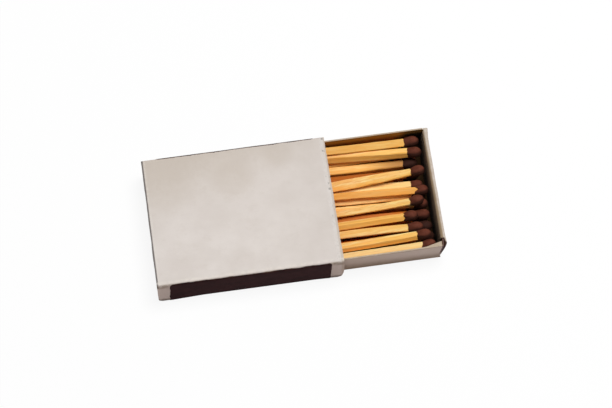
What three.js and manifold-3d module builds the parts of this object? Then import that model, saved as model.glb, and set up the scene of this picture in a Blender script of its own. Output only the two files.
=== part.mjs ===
// A slide-open matchbox: a card sleeve with a striking strip on each narrow side, a folded card tray
// that is pulled part of the way out of it, and the matches that lie in the tray, all heads at one end.
//
// Millimetres. The origin is the middle of the sleeve's underside. +X is the way the tray is pulled
// out, +Z is up, and the sleeve's glued lap is on its -Y side.

import * as THREE from "three";
import { mergeVertices } from "three/addons/utils/BufferGeometryUtils.js";
import Module from "manifold-3d";

const wasm = await Module();
wasm.setup();

// Matches
const SPLINT_SIDE = 1.9; // square section of the wooden splint
const SPLINT_LENGTH = 41;
const SPLINT_EDGE = 0.25; // bevel along the splint's four long edges
const HEAD_COVER = 2.4; // length of splint inside the head
const HEAD_TIP = 1.4; // round tip of the head, beyond the end of the splint
const HEAD_COAT = 0.12; // head over the splint's edges, at the collar
const HEAD_BULGE = 0.14; // how far the head's widest ring stands past its collar
const HEAD_FIT = 0.04; // gap between the splint and the socket in its head
const SEAT_GAP = 0.08; // gap between a match and what it lies on
const LOW_ROLL = 20; // most degrees that a match under the top layer turns about its own length

// Tray: as wide as a row of heads, as deep as a stack of them, as long as a match and its play
const MATCHES_ACROSS = 11;
const MATCHES_ON_FLOOR = 8;
const LAYERS = 3;
const HEAD_PLAY = 0.22; // spare width for each head across the tray
const HEADROOM = 0.54; // from a full stack of heads to the rim
const END_PLAY = 3.6; // spare length at floor level
const TIP_GAP = 0.3; // least gap between a match and the end walls
const TRAY_CARD = 0.4;
const TRAY_FOLD = 0.35; // inside radius of the tray's folds
const FLAP_LENGTH = 9; // end flaps of the side walls, tucked into the end walls
const PLY_GAP = 0.05; // gap between the plies of an end wall
const END_LEAN = 0.8; // how far the end walls lean out at the rim
const WALL_LEAN = 0.45; // how far the near side wall leans out at the rim, pressed by the matches
const END_CORNER = 0.4; // rounding of the end walls' top corners

// Sleeve
const SLEEVE_CARD = 0.45;
const SLEEVE_FOLD = 0.3; // inside radius of the sleeve's folds
const SIDE_PLAY = 0.6; // between the tray and each side of the sleeve
const TOP_PLAY = 0.35; // between the tray's rim and the sleeve's roof
const RUNNING_GAP = 0.15; // between the tray and the sleeve's floor
const SLEEVE_OVERHANG = 0.15; // sleeve past each end of the shut tray
const SEAM_GAP = 0.03; // glue line between the lap and the front panel
const LAP_GAP = 0.6; // from the lap's free edge to the roof
const PANEL_LIFT = 0.15; // front panel's free edge above the underside
const PANEL_CORNER = 1.6; // rounding of the front panel's two free corners

// Striking strips
const STRIP_THICKNESS = 0.15;
const STRIP_BOND = 0.03; // glue line under the strip
const STRIP_INSET = 3.5; // bare card at each end of the sleeve
const STRIP_SHIFT = 0.3; // how far the strips sit off the middle, towards the pulled end
const STRIP_CORNER = 1.2;
const STRIP_WRAP = THREE.MathUtils.degToRad(50); // turn of each fold that a strip covers

// Pose
const TRAY_PULL = 28.4; // how far the tray is out of the shut position

// Finishes
const SLEEVE_FINISH = { color: 0xd8d0c8, roughness: 0.9 };
const TRAY_FINISH = { color: 0xb5aaa0, roughness: 0.9 };
const STRIP_FINISH = { color: 0x2d191c, roughness: 0.95 };
const SPLINT_FINISH = { color: 0xe8b25a, roughness: 0.7 };
const HEAD_FINISH = { color: 0x4a211a, roughness: 0.85 };

// Fineness
const FOLD_STEPS = 4;
const HEAD_SIDES = 12;
const TIP_STEPS = 4;
const SWELL_STEPS = 3;
const STATIONS = 120; // places along a match where its support is looked for
const SECTION_SIDES = 16; // of a head's section in that search

// Derived sizes of a match
const splintHalf = SPLINT_SIDE / 2;
const splintCorner = Math.hypot(splintHalf, splintHalf - SPLINT_EDGE);
const collarRadius = splintCorner + HEAD_COAT;
const headRadius = collarRadius + HEAD_BULGE;
const headLength = HEAD_COVER + HEAD_TIP;
const headStart = SPLINT_LENGTH - HEAD_COVER;
const matchLength = SPLINT_LENGTH + HEAD_TIP;

// Derived sizes of the tray, before its end walls lean out
const trayInnerWidth = MATCHES_ACROSS * (2 * headRadius + HEAD_PLAY);
const trayInnerLength = matchLength + END_PLAY;
const trayHeight = TRAY_CARD + LAYERS * 2 * headRadius + HEADROOM;
const innerHalfWidth = trayInnerWidth / 2;
const outerHalfWidth = innerHalfWidth + TRAY_CARD;
const innerHalfLength = trayInnerLength / 2;
const innerPly = innerHalfLength + TRAY_CARD / 2;
const flapPly = innerPly + TRAY_CARD + PLY_GAP;
const outerPly = flapPly + TRAY_CARD + PLY_GAP;
const outerHalfLength = outerPly + TRAY_CARD / 2;
const rollRadius = (outerPly - innerPly) / 2;
const rollStart = trayHeight - TRAY_CARD / 2 - rollRadius;

// Derived sizes of the sleeve
const sleeveLength = 2 * (outerHalfLength + END_LEAN + SLEEVE_OVERHANG);
const seamThickness = SLEEVE_CARD + SEAM_GAP;
const sleeveWidth = 2 * (outerHalfWidth + SIDE_PLAY + SLEEVE_CARD) + seamThickness;
const sleeveHeight = 2 * SLEEVE_CARD + RUNNING_GAP + trayHeight + TOP_PLAY;
const stripLength = sleeveLength - 2 * STRIP_INSET;

// A closed geometry as a solid that can be joined and cut.
function solidOf(geometry) {
  const bare = geometry.clone();
  bare.deleteAttribute("normal");
  bare.deleteAttribute("uv");
  const merged = mergeVertices(bare);
  const corners = merged.index.array;
  const triangles = [];
  for (let i = 0; i < corners.length; i += 3) {
    const triangle = corners.slice(i, i + 3);
    if (new Set(triangle).size === 3) triangles.push(...triangle);
  }
  const vertProperties = merged.attributes.position.array;
  const triVerts = new Uint32Array(triangles);
  return new wasm.Manifold(new wasm.Mesh({ numProp: 3, vertProperties, triVerts }));
}

function geometryOf(solid) {
  const { vertProperties, triVerts } = solid.getMesh();
  const geometry = new THREE.BufferGeometry();
  geometry.setAttribute("position", new THREE.BufferAttribute(vertProperties, 3));
  geometry.setIndex(new THREE.BufferAttribute(triVerts, 1));
  geometry.computeVertexNormals();
  return geometry;
}

// A line through the corners, each rounded to its radius, as points with the direction of travel.
function foldLine(corners, radii) {
  const middle = corners.slice(1, -1).flatMap((corner, i) => {
    const into = corner.clone().sub(corners[i]).normalize();
    const out = corners[i + 2].clone().sub(corner).normalize();
    const turn = Math.atan2(into.cross(out), into.dot(out));
    const start = corner.clone().addScaledVector(into, -radii[i] * Math.tan(Math.abs(turn) / 2));
    const toCentre = new THREE.Vector2(-into.y, into.x).multiplyScalar(radii[i] * Math.sign(turn));
    const centre = start.clone().add(toCentre);
    return Array.from({ length: FOLD_STEPS + 1 }, (_, step) => {
      const angle = (turn * step) / FOLD_STEPS;
      const at = start.clone().rotateAround(centre, angle);
      const along = into.clone().rotateAround(new THREE.Vector2(), angle);
      return { at, along };
    });
  });
  const first = { at: corners[0], along: middle[0].along };
  const last = { at: corners.at(-1), along: middle.at(-1).along };
  return [first, ...middle, last];
}

// The edge view of a card that follows a line.
function cardShape(line, card) {
  const side = (offset) =>
    line.map(({ at, along }) => new THREE.Vector2(-along.y, along.x).multiplyScalar(offset).add(at));
  return new THREE.Shape([...side(card / 2), ...side(-card / 2).reverse()]);
}

function extrude(shape, depth) {
  return new THREE.ExtrudeGeometry(shape, { depth, bevelEnabled: false, curveSegments: FOLD_STEPS });
}

// A shape drawn in Y and Z, extruded along X.
function alongX(shape, from, to) {
  const [x, y, z] = [0, 1, 2].map((axis) => new THREE.Vector3().setComponent(axis, 1));
  const turned = extrude(shape, to - from).applyMatrix4(new THREE.Matrix4().makeBasis(y, z, x));
  return turned.translate(from, 0, 0);
}

// A shape drawn in X and Z, extruded along Y.
function alongY(shape, from, to) {
  return extrude(shape, to - from).rotateX(Math.PI / 2).translate(0, to, 0);
}

// A shape drawn in X and Y, extruded along Z.
function alongZ(shape, from, to) {
  return extrude(shape, to - from).translate(0, 0, from);
}

function points(...pairs) {
  return pairs.map(([u, v]) => new THREE.Vector2(u, v));
}

// A rectangle about the vertical middle line, with its lower and its upper corners rounded apart.
function roundedPanel(halfWidth, bottom, top, lowRadius, highRadius) {
  const shape = new THREE.Shape();
  shape.moveTo(-halfWidth, bottom + lowRadius);
  if (lowRadius > 0) {
    shape.absarc(-halfWidth + lowRadius, bottom + lowRadius, lowRadius, Math.PI, 1.5 * Math.PI);
    shape.absarc(halfWidth - lowRadius, bottom + lowRadius, lowRadius, -Math.PI / 2, 0);
  } else {
    shape.lineTo(halfWidth, bottom);
  }
  if (highRadius > 0) {
    shape.absarc(halfWidth - highRadius, top - highRadius, highRadius, 0, Math.PI / 2);
    shape.absarc(-halfWidth + highRadius, top - highRadius, highRadius, Math.PI / 2, Math.PI);
  } else {
    shape.lineTo(halfWidth, top);
    shape.lineTo(-halfWidth, top);
  }
  return shape;
}

function piece(name, geometry, finish) {
  const material = new THREE.MeshStandardMaterial({ ...finish, metalness: 0 });
  const mesh = new THREE.Mesh(geometry, material);
  mesh.name = name;
  return mesh;
}

// The sleeve is one strip of card: lap, floor, back, roof, and the front panel glued over the lap.
function sleeveGeometry() {
  const middle = SLEEVE_CARD / 2;
  const frontLine = -sleeveWidth / 2 + middle;
  const backLine = sleeveWidth / 2 - middle;
  const lapLine = frontLine + seamThickness;
  const roofLine = sleeveHeight - middle;
  const lapTop = sleeveHeight - SLEEVE_CARD - LAP_GAP;
  const corners = points(
    [lapLine, lapTop],
    [lapLine, middle],
    [backLine, middle],
    [backLine, roofLine],
    [frontLine, roofLine],
    [frontLine, PANEL_LIFT],
  );
  const radii = new Array(corners.length - 2).fill(SLEEVE_FOLD + middle);
  const tube = cardShape(foldLine(corners, radii), SLEEVE_CARD);
  const half = sleeveLength / 2;
  // The front panel's free corners are rounded: what lies outside its outline is cut off.
  const frontFace = -sleeveWidth / 2;
  const panel = roundedPanel(half, PANEL_LIFT, sleeveHeight, PANEL_CORNER, 0);
  const square = roundedPanel(half + SLEEVE_CARD, 0, PANEL_LIFT + PANEL_CORNER, 0, 0);
  const cutBack = frontFace + SLEEVE_CARD + SEAM_GAP / 2;
  const kept = solidOf(alongY(panel, frontFace - 2 * SLEEVE_CARD, cutBack + SLEEVE_CARD));
  const offcut = solidOf(alongY(square, frontFace - SLEEVE_CARD, cutBack)).subtract(kept);
  return geometryOf(solidOf(alongX(tube, -half, half)).subtract(offcut));
}

// A strip's edge view runs down one narrow side of the sleeve and part of the way round its folds.
function stripGeometry(side) {
  const face = sleeveWidth / 2 + STRIP_BOND + STRIP_THICKNESS / 2;
  const radius = SLEEVE_FOLD + SLEEVE_CARD + STRIP_BOND + STRIP_THICKNESS / 2;
  const centre = new THREE.Vector2(face - radius, sleeveHeight - SLEEVE_FOLD - SLEEVE_CARD);
  const start = Math.PI / 2 - STRIP_WRAP;
  const fold = Array.from({ length: FOLD_STEPS + 1 }, (_, step) => {
    const angle = start + (STRIP_WRAP * step) / FOLD_STEPS;
    const outward = new THREE.Vector2(Math.sin(angle), Math.cos(angle));
    const at = outward.clone().multiplyScalar(radius).add(centre);
    return { at, along: new THREE.Vector2(outward.y, -outward.x) };
  });
  const lowerFold = fold.toReversed().map(({ at, along }) => ({
    at: new THREE.Vector2(at.x, sleeveHeight - at.y),
    along: new THREE.Vector2(-along.x, along.y),
  }));
  const freeEdge = { at: new THREE.Vector2(face, PANEL_LIFT), along: new THREE.Vector2(0, -1) };
  const line = side > 0 ? [...fold, ...lowerFold] : [...fold, freeEdge];
  for (const { at, along } of line) {
    at.x *= side;
    along.x *= side;
  }
  const half = stripLength / 2;
  const band = alongX(cardShape(line, STRIP_THICKNESS), -half, half);
  const bottom = side > 0 ? 0 : PANEL_LIFT;
  const outline = roundedPanel(half, bottom, sleeveHeight, STRIP_CORNER, STRIP_CORNER);
  const window = alongY(outline, -sleeveWidth, sleeveWidth);
  return geometryOf(solidOf(band).intersect(solidOf(window))).translate(STRIP_SHIFT, 0, 0);
}

// The tray is one folded card: a trough, four end flaps of its side walls, and two end walls that
// come up from the base, roll over the flaps and go down again inside them.
function trayGeometry() {
  const middle = TRAY_CARD / 2;
  const wallLine = innerHalfWidth + middle;
  const foldRadius = TRAY_FOLD + middle;
  const straight = flapPly - foldRadius;
  const overlap = FLAP_LENGTH / 2;
  const troughCorners = points(
    [-wallLine, trayHeight],
    [-wallLine, middle],
    [wallLine, middle],
    [wallLine, trayHeight],
  );
  const trough = cardShape(foldLine(troughCorners, [foldRadius, foldRadius]), TRAY_CARD);
  let tray = solidOf(alongX(trough, -straight, straight));

  const flapTop = trayHeight - TRAY_CARD - PLY_GAP;
  const rollHalf = innerHalfWidth - TRAY_FOLD - PLY_GAP;
  const panelHalf = outerHalfWidth - PLY_GAP;
  const panel = roundedPanel(panelHalf, TRAY_CARD + TRAY_FOLD, trayHeight, 0, END_CORNER);
  for (const end of [1, -1]) {
    const endCorners = points(
      [end * (straight - overlap), middle],
      [end * outerPly, middle],
      [end * outerPly, trayHeight - middle],
      [end * innerPly, trayHeight - middle],
      [end * innerPly, TRAY_CARD + PLY_GAP],
    );
    const endWall = cardShape(foldLine(endCorners, [foldRadius, rollRadius, rollRadius]), TRAY_CARD);
    tray = tray.add(solidOf(alongY(endWall, -rollHalf, rollHalf)));
    // The outer ply is wider than the rest: it covers the side walls' folds.
    const outerPlyOnly = solidOf(alongX(panel, end * outerPly - middle, end * outerPly + middle));
    tray = tray.add(solidOf(alongY(endWall, -panelHalf, panelHalf)).intersect(outerPlyOnly));
    for (const side of [1, -1]) {
      const flapCorners = points(
        [end * (straight - overlap), side * wallLine],
        [end * flapPly, side * wallLine],
        [end * flapPly, side * (wallLine - FLAP_LENGTH)],
      );
      const flap = cardShape(foldLine(flapCorners, [foldRadius]), TRAY_CARD);
      tray = tray.add(solidOf(alongZ(flap, TRAY_CARD + TRAY_FOLD, flapTop)));
    }
  }

  // Three walls lean: lengths along the tray, and widths on its near side, grow with the height.
  const geometry = geometryOf(tray);
  const position = geometry.attributes.position;
  for (let i = 0; i < position.count; i++) {
    const height = position.getZ(i) / trayHeight;
    position.setX(i, position.getX(i) * (1 + (END_LEAN / outerHalfLength) * height));
    const near = position.getY(i) < 0;
    if (near) position.setY(i, position.getY(i) * (1 + (WALL_LEAN / outerHalfWidth) * height));
  }
  return geometry;
}

function splintShape() {
  const flat = splintHalf - SPLINT_EDGE;
  const quarter = points([splintHalf, -flat], [splintHalf, flat]);
  const outline = [0, 1, 2, 3].flatMap((turn) =>
    quarter.map((corner) => corner.clone().rotateAround(new THREE.Vector2(), (turn * Math.PI) / 2)),
  );
  return new THREE.Shape(outline);
}

function splintGeometry() {
  return alongX(splintShape(), 0, SPLINT_LENGTH);
}

// The head swells from its collar to its widest ring, and ends in a round tip.
function headRadiusAt(fromCollar) {
  const swell = Math.min(1, fromCollar / HEAD_COVER);
  if (swell < 1) return collarRadius + HEAD_BULGE * Math.sin((Math.PI / 2) * swell);
  const share = Math.min(1, (fromCollar - HEAD_COVER) / HEAD_TIP);
  return headRadius * Math.sqrt(1 - share ** 2);
}

function headGeometry() {
  const swell = Array.from({ length: SWELL_STEPS }, (_, step) => (HEAD_COVER * step) / SWELL_STEPS);
  const tip = Array.from({ length: TIP_STEPS }, (_, step) => {
    return HEAD_COVER + HEAD_TIP * Math.sin((Math.PI * step) / (2 * TIP_STEPS));
  });
  const rings = [...swell, ...tip, headLength].map((height) => [headRadiusAt(height), height]);
  const profile = points([0, 0], ...rings);
  const bulb = new THREE.LatheGeometry(profile, HEAD_SIDES).rotateZ(-Math.PI / 2);
  const reach = (splintHalf + HEAD_FIT) / splintHalf;
  const socket = alongX(splintShape(), -HEAD_COVER, HEAD_COVER + HEAD_FIT).scale(1, reach, reach);
  return geometryOf(solidOf(bulb).subtract(solidOf(socket))).translate(headStart, 0, 0);
}

// The matches that lie on top, in the order they are laid. Head and tail are shares of the free half
// width of the tray, and back is the share of the end play that lies between the tip and the wall.
// Roll is the turn about a match's own length in degrees, with its top towards the near side.
const TOP_MATCHES = [
  { head: 0.74, tail: 0.92, back: 0.05, roll: -30 },
  { head: 0.94, tail: 1, back: 0.12, roll: 24 },
  { head: 0.355, tail: 0.3, back: 0.02, roll: -7 },
  { head: 0.01, tail: 0.18, back: 0, roll: 26 },
  { head: -0.19, tail: -0.185, back: 0.42, roll: 18 },
  { head: -0.438, tail: -0.46, back: 1, roll: -44 },
  { head: -0.627, tail: -0.62, back: 0.74, roll: 20 },
  { head: -1, tail: -1, back: 0.1, roll: 20 },
  { head: -0.814, tail: -0.84, back: 0.3, roll: -24 },
];
const FLOOR_LEAN = 0.06; // how far the matches on the floor splay, by turns to each side
const MIDDLE_SWAY = 0.16; // how far the tails of the middle layer lie towards the far side
const FLOOR_BACKS = [0.1, 0.5, 0.3, 0.7];
const MIDDLE_BACK = 0.6; // the middle layer's heads draw back towards the far side

// A layer of matches whose heads are spread evenly across the tray.
function evenLayer(count, leanOf, backOf) {
  return Array.from({ length: count }, (_, i) => {
    const head = (2 * i) / (count - 1) - 1;
    const tail = THREE.MathUtils.clamp(head + leanOf(head, i), -1, 1);
    return { head, tail, back: backOf(i, count), roll: LOW_ROLL * Math.sin(5 * i + 1) };
  });
}

// A match's place in plan: where its tail is, the way it points and its turn about its own length.
// The walls lean, so a match of a higher layer has more play between them.
function placeInPlan({ head, tail, back, roll }, layer) {
  const rise = (TRAY_CARD + layer * 2 * headRadius) / trayHeight;
  const farHalf = innerHalfWidth - headRadius - SEAT_GAP;
  const nearHalf = farHalf + WALL_LEAN * rise;
  const [headY, tailY] = [head, tail].map((share) => share * (share < 0 ? nearHalf : farHalf));
  const yaw = Math.asin((headY - tailY) / matchLength);
  const reach = innerHalfLength * (1 + (END_LEAN / outerHalfLength) * rise) - TIP_GAP;
  const tipX = reach - back * (2 * reach - matchLength);
  const tailX = tipX - matchLength * Math.cos(yaw);
  const turn = THREE.MathUtils.degToRad(roll);
  return { x: tailX, y: tailY, yaw, roll: turn, splintSection: splintSection(turn) };
}

// The corners of a splint's upright section round its axis, with half the seat gap all round.
function splintSection(roll) {
  const half = splintHalf + SEAT_GAP / 2;
  const flat = half - SPLINT_EDGE;
  const axis = new THREE.Vector2();
  return [0, 1, 2, 3].flatMap((quarter) => {
    const turn = roll + (quarter * Math.PI) / 2;
    return points([half, -flat], [half, flat]).map((corner) => corner.rotateAround(axis, turn));
  });
}

// The same for a match at a distance from its tail, where a head's round section is a ring of corners.
function sectionAt(match, along) {
  if (along <= headStart) return match.splintSection;
  const reach = (headRadiusAt(along - headStart) + SEAT_GAP / 2) / Math.cos(Math.PI / SECTION_SIDES);
  return Array.from({ length: SECTION_SIDES }, (_, k) => {
    const angle = (2 * Math.PI * k) / SECTION_SIDES;
    return new THREE.Vector2(reach * Math.cos(angle), reach * Math.sin(angle));
  });
}

// How high a section reaches over its axis, at a distance across from it.
function reachOver(section, across) {
  const heights = section.map((corner, i) => {
    const next = section[(i + 1) % section.length];
    const share = (across - corner.x) / (next.x - corner.x);
    return share >= 0 && share <= 1 ? corner.y + share * (next.y - corner.y) : -Infinity;
  });
  return Math.max(...heights);
}

// The least height of one axis over another where the two sections pass each other at a distance.
function stackHeight(upper, lower, apart) {
  const places = [...lower.map((corner) => corner.x), ...upper.map((corner) => apart - corner.x)];
  const heights = places.map((across) => reachOver(lower, across) + reachOver(upper, apart - across));
  return Math.max(...heights);
}

// How high a match's axis has to be, at a distance from its tail, to clear the floor and the pile.
function supportHeight(match, along, pile) {
  const x = match.x + along * Math.cos(match.yaw);
  const y = match.y + along * Math.sin(match.yaw);
  const section = sectionAt(match, along);
  const overFloor = TRAY_CARD + Math.max(...section.map((corner) => corner.y)) + SEAT_GAP / 2;
  const overPile = pile.map((other) => {
    const otherAlong = (x - other.x) / Math.cos(other.yaw);
    if (otherAlong < 0 || otherAlong > matchLength) return -Infinity;
    const apart = y - other.y - otherAlong * Math.sin(other.yaw);
    const otherHeight = other.height + other.slope * otherAlong;
    return otherHeight + stackHeight(section, sectionAt(other, otherAlong), apart);
  });
  return Math.max(overFloor, ...overPile);
}

// A match comes down until it is held on each side of its middle: on the upper hull of its supports.
function settle(match, pile) {
  const hull = [];
  for (let i = 0; i <= STATIONS; i++) {
    const along = (matchLength * i) / STATIONS;
    const support = new THREE.Vector2(along, supportHeight(match, along, pile));
    const sags = (a, b) => b.clone().sub(a).cross(support.clone().sub(a)) >= 0;
    while (hull.length > 1 && sags(hull.at(-2), hull.at(-1))) hull.pop();
    hull.push(support);
  }
  const after = hull.findIndex((support) => support.x > matchLength / 2);
  const [tailSeat, headSeat] = hull.slice(after - 1, after + 1);
  const slope = (headSeat.y - tailSeat.y) / (headSeat.x - tailSeat.x);
  return { ...match, slope, height: tailSeat.y - slope * tailSeat.x };
}

function layMatches() {
  const splay = (_, i) => (i % 2 ? FLOOR_LEAN : -FLOOR_LEAN);
  const sway = (head) => MIDDLE_SWAY * (1 - head ** 2);
  const floorLayer = evenLayer(MATCHES_ON_FLOOR, splay, (i) => FLOOR_BACKS[i % FLOOR_BACKS.length]);
  const middleLayer = evenLayer(MATCHES_ACROSS, sway, (i, n) => MIDDLE_BACK * (i / (n - 1)) ** 2);
  const pile = [];
  [floorLayer, middleLayer, TOP_MATCHES].forEach((places, layer) => {
    for (const place of places) {
      pile.push(settle(placeInPlan(place, layer), pile));
    }
  });
  return pile;
}

function matchGroup(match, number) {
  const name = `match_${String(number).padStart(2, "0")}`;
  const group = new THREE.Group();
  group.add(piece(`${name}_splint`, splintGeometry(), SPLINT_FINISH));
  group.add(piece(`${name}_head`, headGeometry(), HEAD_FINISH));
  group.position.set(match.x, match.y, match.height);
  group.rotation.set(match.roll, -Math.atan(match.slope), match.yaw, "ZYX");
  return group;
}

const tray = new THREE.Group();
tray.add(piece("tray", trayGeometry(), TRAY_FINISH));
layMatches().forEach((match, index) => tray.add(matchGroup(match, index + 1)));
tray.position.set(TRAY_PULL, seamThickness / 2, SLEEVE_CARD + RUNNING_GAP);

const matchbox = new THREE.Group();
matchbox.add(piece("sleeve", sleeveGeometry(), SLEEVE_FINISH));
matchbox.add(piece("front_striker", stripGeometry(-1), STRIP_FINISH));
matchbox.add(piece("back_striker", stripGeometry(1), STRIP_FINISH));
matchbox.add(tray);

export default matchbox;
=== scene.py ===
# %% [markdown]
# # A matchbox, half open
# The real thing is thin card and split wood: a folded sleeve with a dark striking strip on each narrow
# side, a folded tray, and a pile of matches in it. Their solids are already made to size, and they come
# in here as a fixed frame. This lesson gives each of them the surface that a plain solid leaves out:
# soft folds, cut edges, worn corners, wood grain and lumpy match heads. A new piece could be placed by
# eye. It is safer to measure the solid that it stands for, so every place below comes from the frame.

# %% Load the frame
import math
import random

import bmesh
import bpy
import numpy as np
from mathutils import Matrix, Vector, noise


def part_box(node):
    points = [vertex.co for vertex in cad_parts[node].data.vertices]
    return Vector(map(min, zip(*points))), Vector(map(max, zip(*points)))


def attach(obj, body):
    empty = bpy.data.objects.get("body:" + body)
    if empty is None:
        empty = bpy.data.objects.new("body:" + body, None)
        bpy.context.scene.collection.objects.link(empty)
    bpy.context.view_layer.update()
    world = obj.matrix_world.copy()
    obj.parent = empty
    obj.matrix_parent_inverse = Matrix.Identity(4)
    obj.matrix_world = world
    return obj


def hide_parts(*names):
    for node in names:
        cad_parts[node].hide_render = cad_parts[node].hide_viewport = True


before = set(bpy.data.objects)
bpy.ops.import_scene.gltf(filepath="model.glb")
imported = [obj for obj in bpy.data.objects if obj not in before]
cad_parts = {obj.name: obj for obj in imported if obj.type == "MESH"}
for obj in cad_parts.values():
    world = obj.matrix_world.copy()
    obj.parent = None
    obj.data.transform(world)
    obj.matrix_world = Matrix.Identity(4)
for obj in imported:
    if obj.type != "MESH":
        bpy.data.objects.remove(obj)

MM = 0.001  # the frame is in metres, and card is easier to think of in millimetres
scene = bpy.context.scene
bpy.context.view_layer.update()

# %% [markdown]
# ## The camera
# The box is seen from above and a little to its left, with a long lens from less than a metre away. Its
# edges give that away: parallel ones nearly stay parallel. A Track To constraint would aim a camera at
# the box, but this one is also rolled by two degrees, so its three axes are worked out one by one.

# %% Camera
IMAGE_WIDTH = 612  # pixels
FOCAL_LENGTH = 2702  # in the same pixels
SENSOR_WIDTH = 36  # millimetres, the unit of Blender's lenses
VIEW_AZIMUTH = math.radians(-6.18)
VIEW_ELEVATION = math.radians(67.07)
VIEW_ROLL = math.radians(-1.92)
VIEW_DISTANCE = 745.13 * MM
VIEW_TARGET = Vector((18.2, 4.07, 0)) * MM


def aim_camera():
    level, height = math.cos(VIEW_ELEVATION), math.sin(VIEW_ELEVATION)
    back = Vector((math.sin(VIEW_AZIMUTH) * level, -math.cos(VIEW_AZIMUTH) * level, height))
    right = Vector((0, 0, 1)).cross(back).normalized()
    up = back.cross(right)
    rolled_right = right * math.cos(VIEW_ROLL) + up * math.sin(VIEW_ROLL)
    rolled_up = up * math.cos(VIEW_ROLL) - right * math.sin(VIEW_ROLL)
    lens = bpy.data.cameras.new("photo_camera")
    lens.sensor_width = SENSOR_WIDTH
    lens.lens = SENSOR_WIDTH * FOCAL_LENGTH / IMAGE_WIDTH
    camera = bpy.data.objects.new("photo_camera", lens)
    turn = Matrix((rolled_right, rolled_up, back)).transposed().to_4x4()
    camera.matrix_world = Matrix.Translation(VIEW_TARGET + back * VIEW_DISTANCE) @ turn
    scene.collection.objects.link(camera)
    scene.camera = camera
    return camera


print("camera lens", round(aim_camera().data.lens, 1), "mm")

# %% [markdown]
# ## Shader maths in plain Python
# A finish is a small graph of nodes, and most of its nodes do sums. Wiring those by hand takes three
# lines each and hides the sum. So one class wraps a node's output and lets Python's operators add the
# Math nodes: `1 - mask` or `grain * 0.5` then reads as it is meant. A Math node turns a colour grey, so
# `blend` mixes colours with a Mix node. Every other node comes from `node`, which sets the node's own
# settings first and then fills or links its inputs by their identifiers.


# %% A socket that can be added, scaled and mixed
class Shade:
    """A node tree, and one output socket in it once there is one."""

    def __init__(self, tree, output=None):
        self.tree = tree
        self.output = output

    def node(self, kind, settings=None, inputs=None, output=0):
        made = self.tree.nodes.new(kind)
        for name, value in (settings or {}).items():
            setattr(made, name, value)
        sockets = {socket.identifier: socket for socket in made.inputs}
        for name, value in (inputs or {}).items():
            if isinstance(value, Shade):
                self.tree.links.new(value.output, sockets[name])
            else:
                sockets[name].default_value = value
        found = [socket for socket in made.outputs if socket.identifier == output]
        outputs = found or [made.outputs[output]] if made.outputs else [None]
        return Shade(self.tree, outputs[0])

    def math(self, operation, first, second):
        return self.node("ShaderNodeMath", {"operation": operation}, {"Value": first, "Value_001": second})

    def __add__(self, other):
        return self.math("ADD", self, other)

    def __sub__(self, other):
        return self.math("SUBTRACT", self, other)

    def __rsub__(self, other):
        return self.math("SUBTRACT", other, self)

    def __mul__(self, other):
        return self.math("MULTIPLY", self, other)

    def __abs__(self):
        return self.node("ShaderNodeMath", {"operation": "ABSOLUTE"}, {"Value": self})

    __radd__ = __add__
    __rmul__ = __mul__

    def most(self, other):
        return self.math("MAXIMUM", self, other)

    def between(self, low, high):
        """0 at low, 1 at high, and a smooth step from one to the other."""
        settings = {"interpolation_type": "SMOOTHSTEP"}
        return self.node("ShaderNodeMapRange", settings, {"Value": self, "From Min": low, "From Max": high})

    def blend(self, low, high):
        """The first colour where this is 0 and the second where it is 1."""
        inputs = {"Factor_Float": self, "A_Color": low, "B_Color": high}
        return self.node("ShaderNodeMix", {"data_type": "RGBA"}, inputs, "Result_Color")

    def stretch(self, *scale):
        """This vector with each of its three parts scaled."""
        inputs = {"Vector": self, "Vector_001": scale}
        return self.node("ShaderNodeVectorMath", {"operation": "MULTIPLY"}, inputs)

    def cloud(self, detail=2, roughness=0.5, seed=0.0):
        """Soft noise over this vector, from 0 to 1, one lump to each unit."""
        inputs = {"Vector": self, "W": seed, "Scale": 1, "Detail": detail, "Roughness": roughness}
        return self.node("ShaderNodeTexNoise", {"noise_dimensions": "4D"}, inputs)


def open_tree(owner):
    owner.use_nodes = True
    owner.node_tree.nodes.clear()
    return Shade(owner.node_tree)


def linear(red, green, blue):
    """A colour as seen on a screen, from 0 to 255, as the light that a node wants."""
    parts = [part / 255 for part in (red, green, blue)]
    return (*[p / 12.92 if p < 0.04045 else ((p + 0.055) / 1.055) ** 2.4 for p in parts], 1)


print("shade methods:", [name for name in vars(Shade) if not name.startswith("__")])

# %% [markdown]
# ## Light and floor
# The box lies on plain white under soft light from above and a little from the right: the tops are
# bright, the near sides get only what the floor throws back, and the inside of the open end lies in its
# own shade. A sky picture would light it too, but one large lamp and a dim sky are easier to reason
# about. To the camera and to mirrors the floor glows plain white and takes only a faint shadow. To light
# that bounces it is a warm white, so that the near sides get their glow from it.

# %% Sky, lamp and floor
SKY_LEVEL = 0.08
LAMP_WATTS = 6.4
LAMP_SIZE = 420 * MM
LAMP_PLACE = Vector((200, 110, 790)) * MM
FLOOR_SIZE = 8  # metres
FLOOR_DROP = 0.02 * MM  # under the sleeve, so that no two faces share one plane
FLOOR_BOUNCE = (0.86, 0.72, 0.68, 1)
SHADOW_SHARE = 0.09  # how much of the floor's white comes from the lamp, and so takes a shadow
WHITE = linear(255, 255, 255)


def shown_rays(shade):
    """1 for rays that come from the camera, or from it by way of a mirror or glass."""
    path = "ShaderNodeLightPath"
    mirrored = shade.node(path, output="Is Glossy Ray").most(shade.node(path, output="Is Transmission Ray"))
    return shade.node(path, output="Is Camera Ray").most(mirrored)


def mix_shaders(factor, low, high):
    return low.node("ShaderNodeMixShader", None, {"Fac": factor, "Shader": low, "Shader_001": high})


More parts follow.
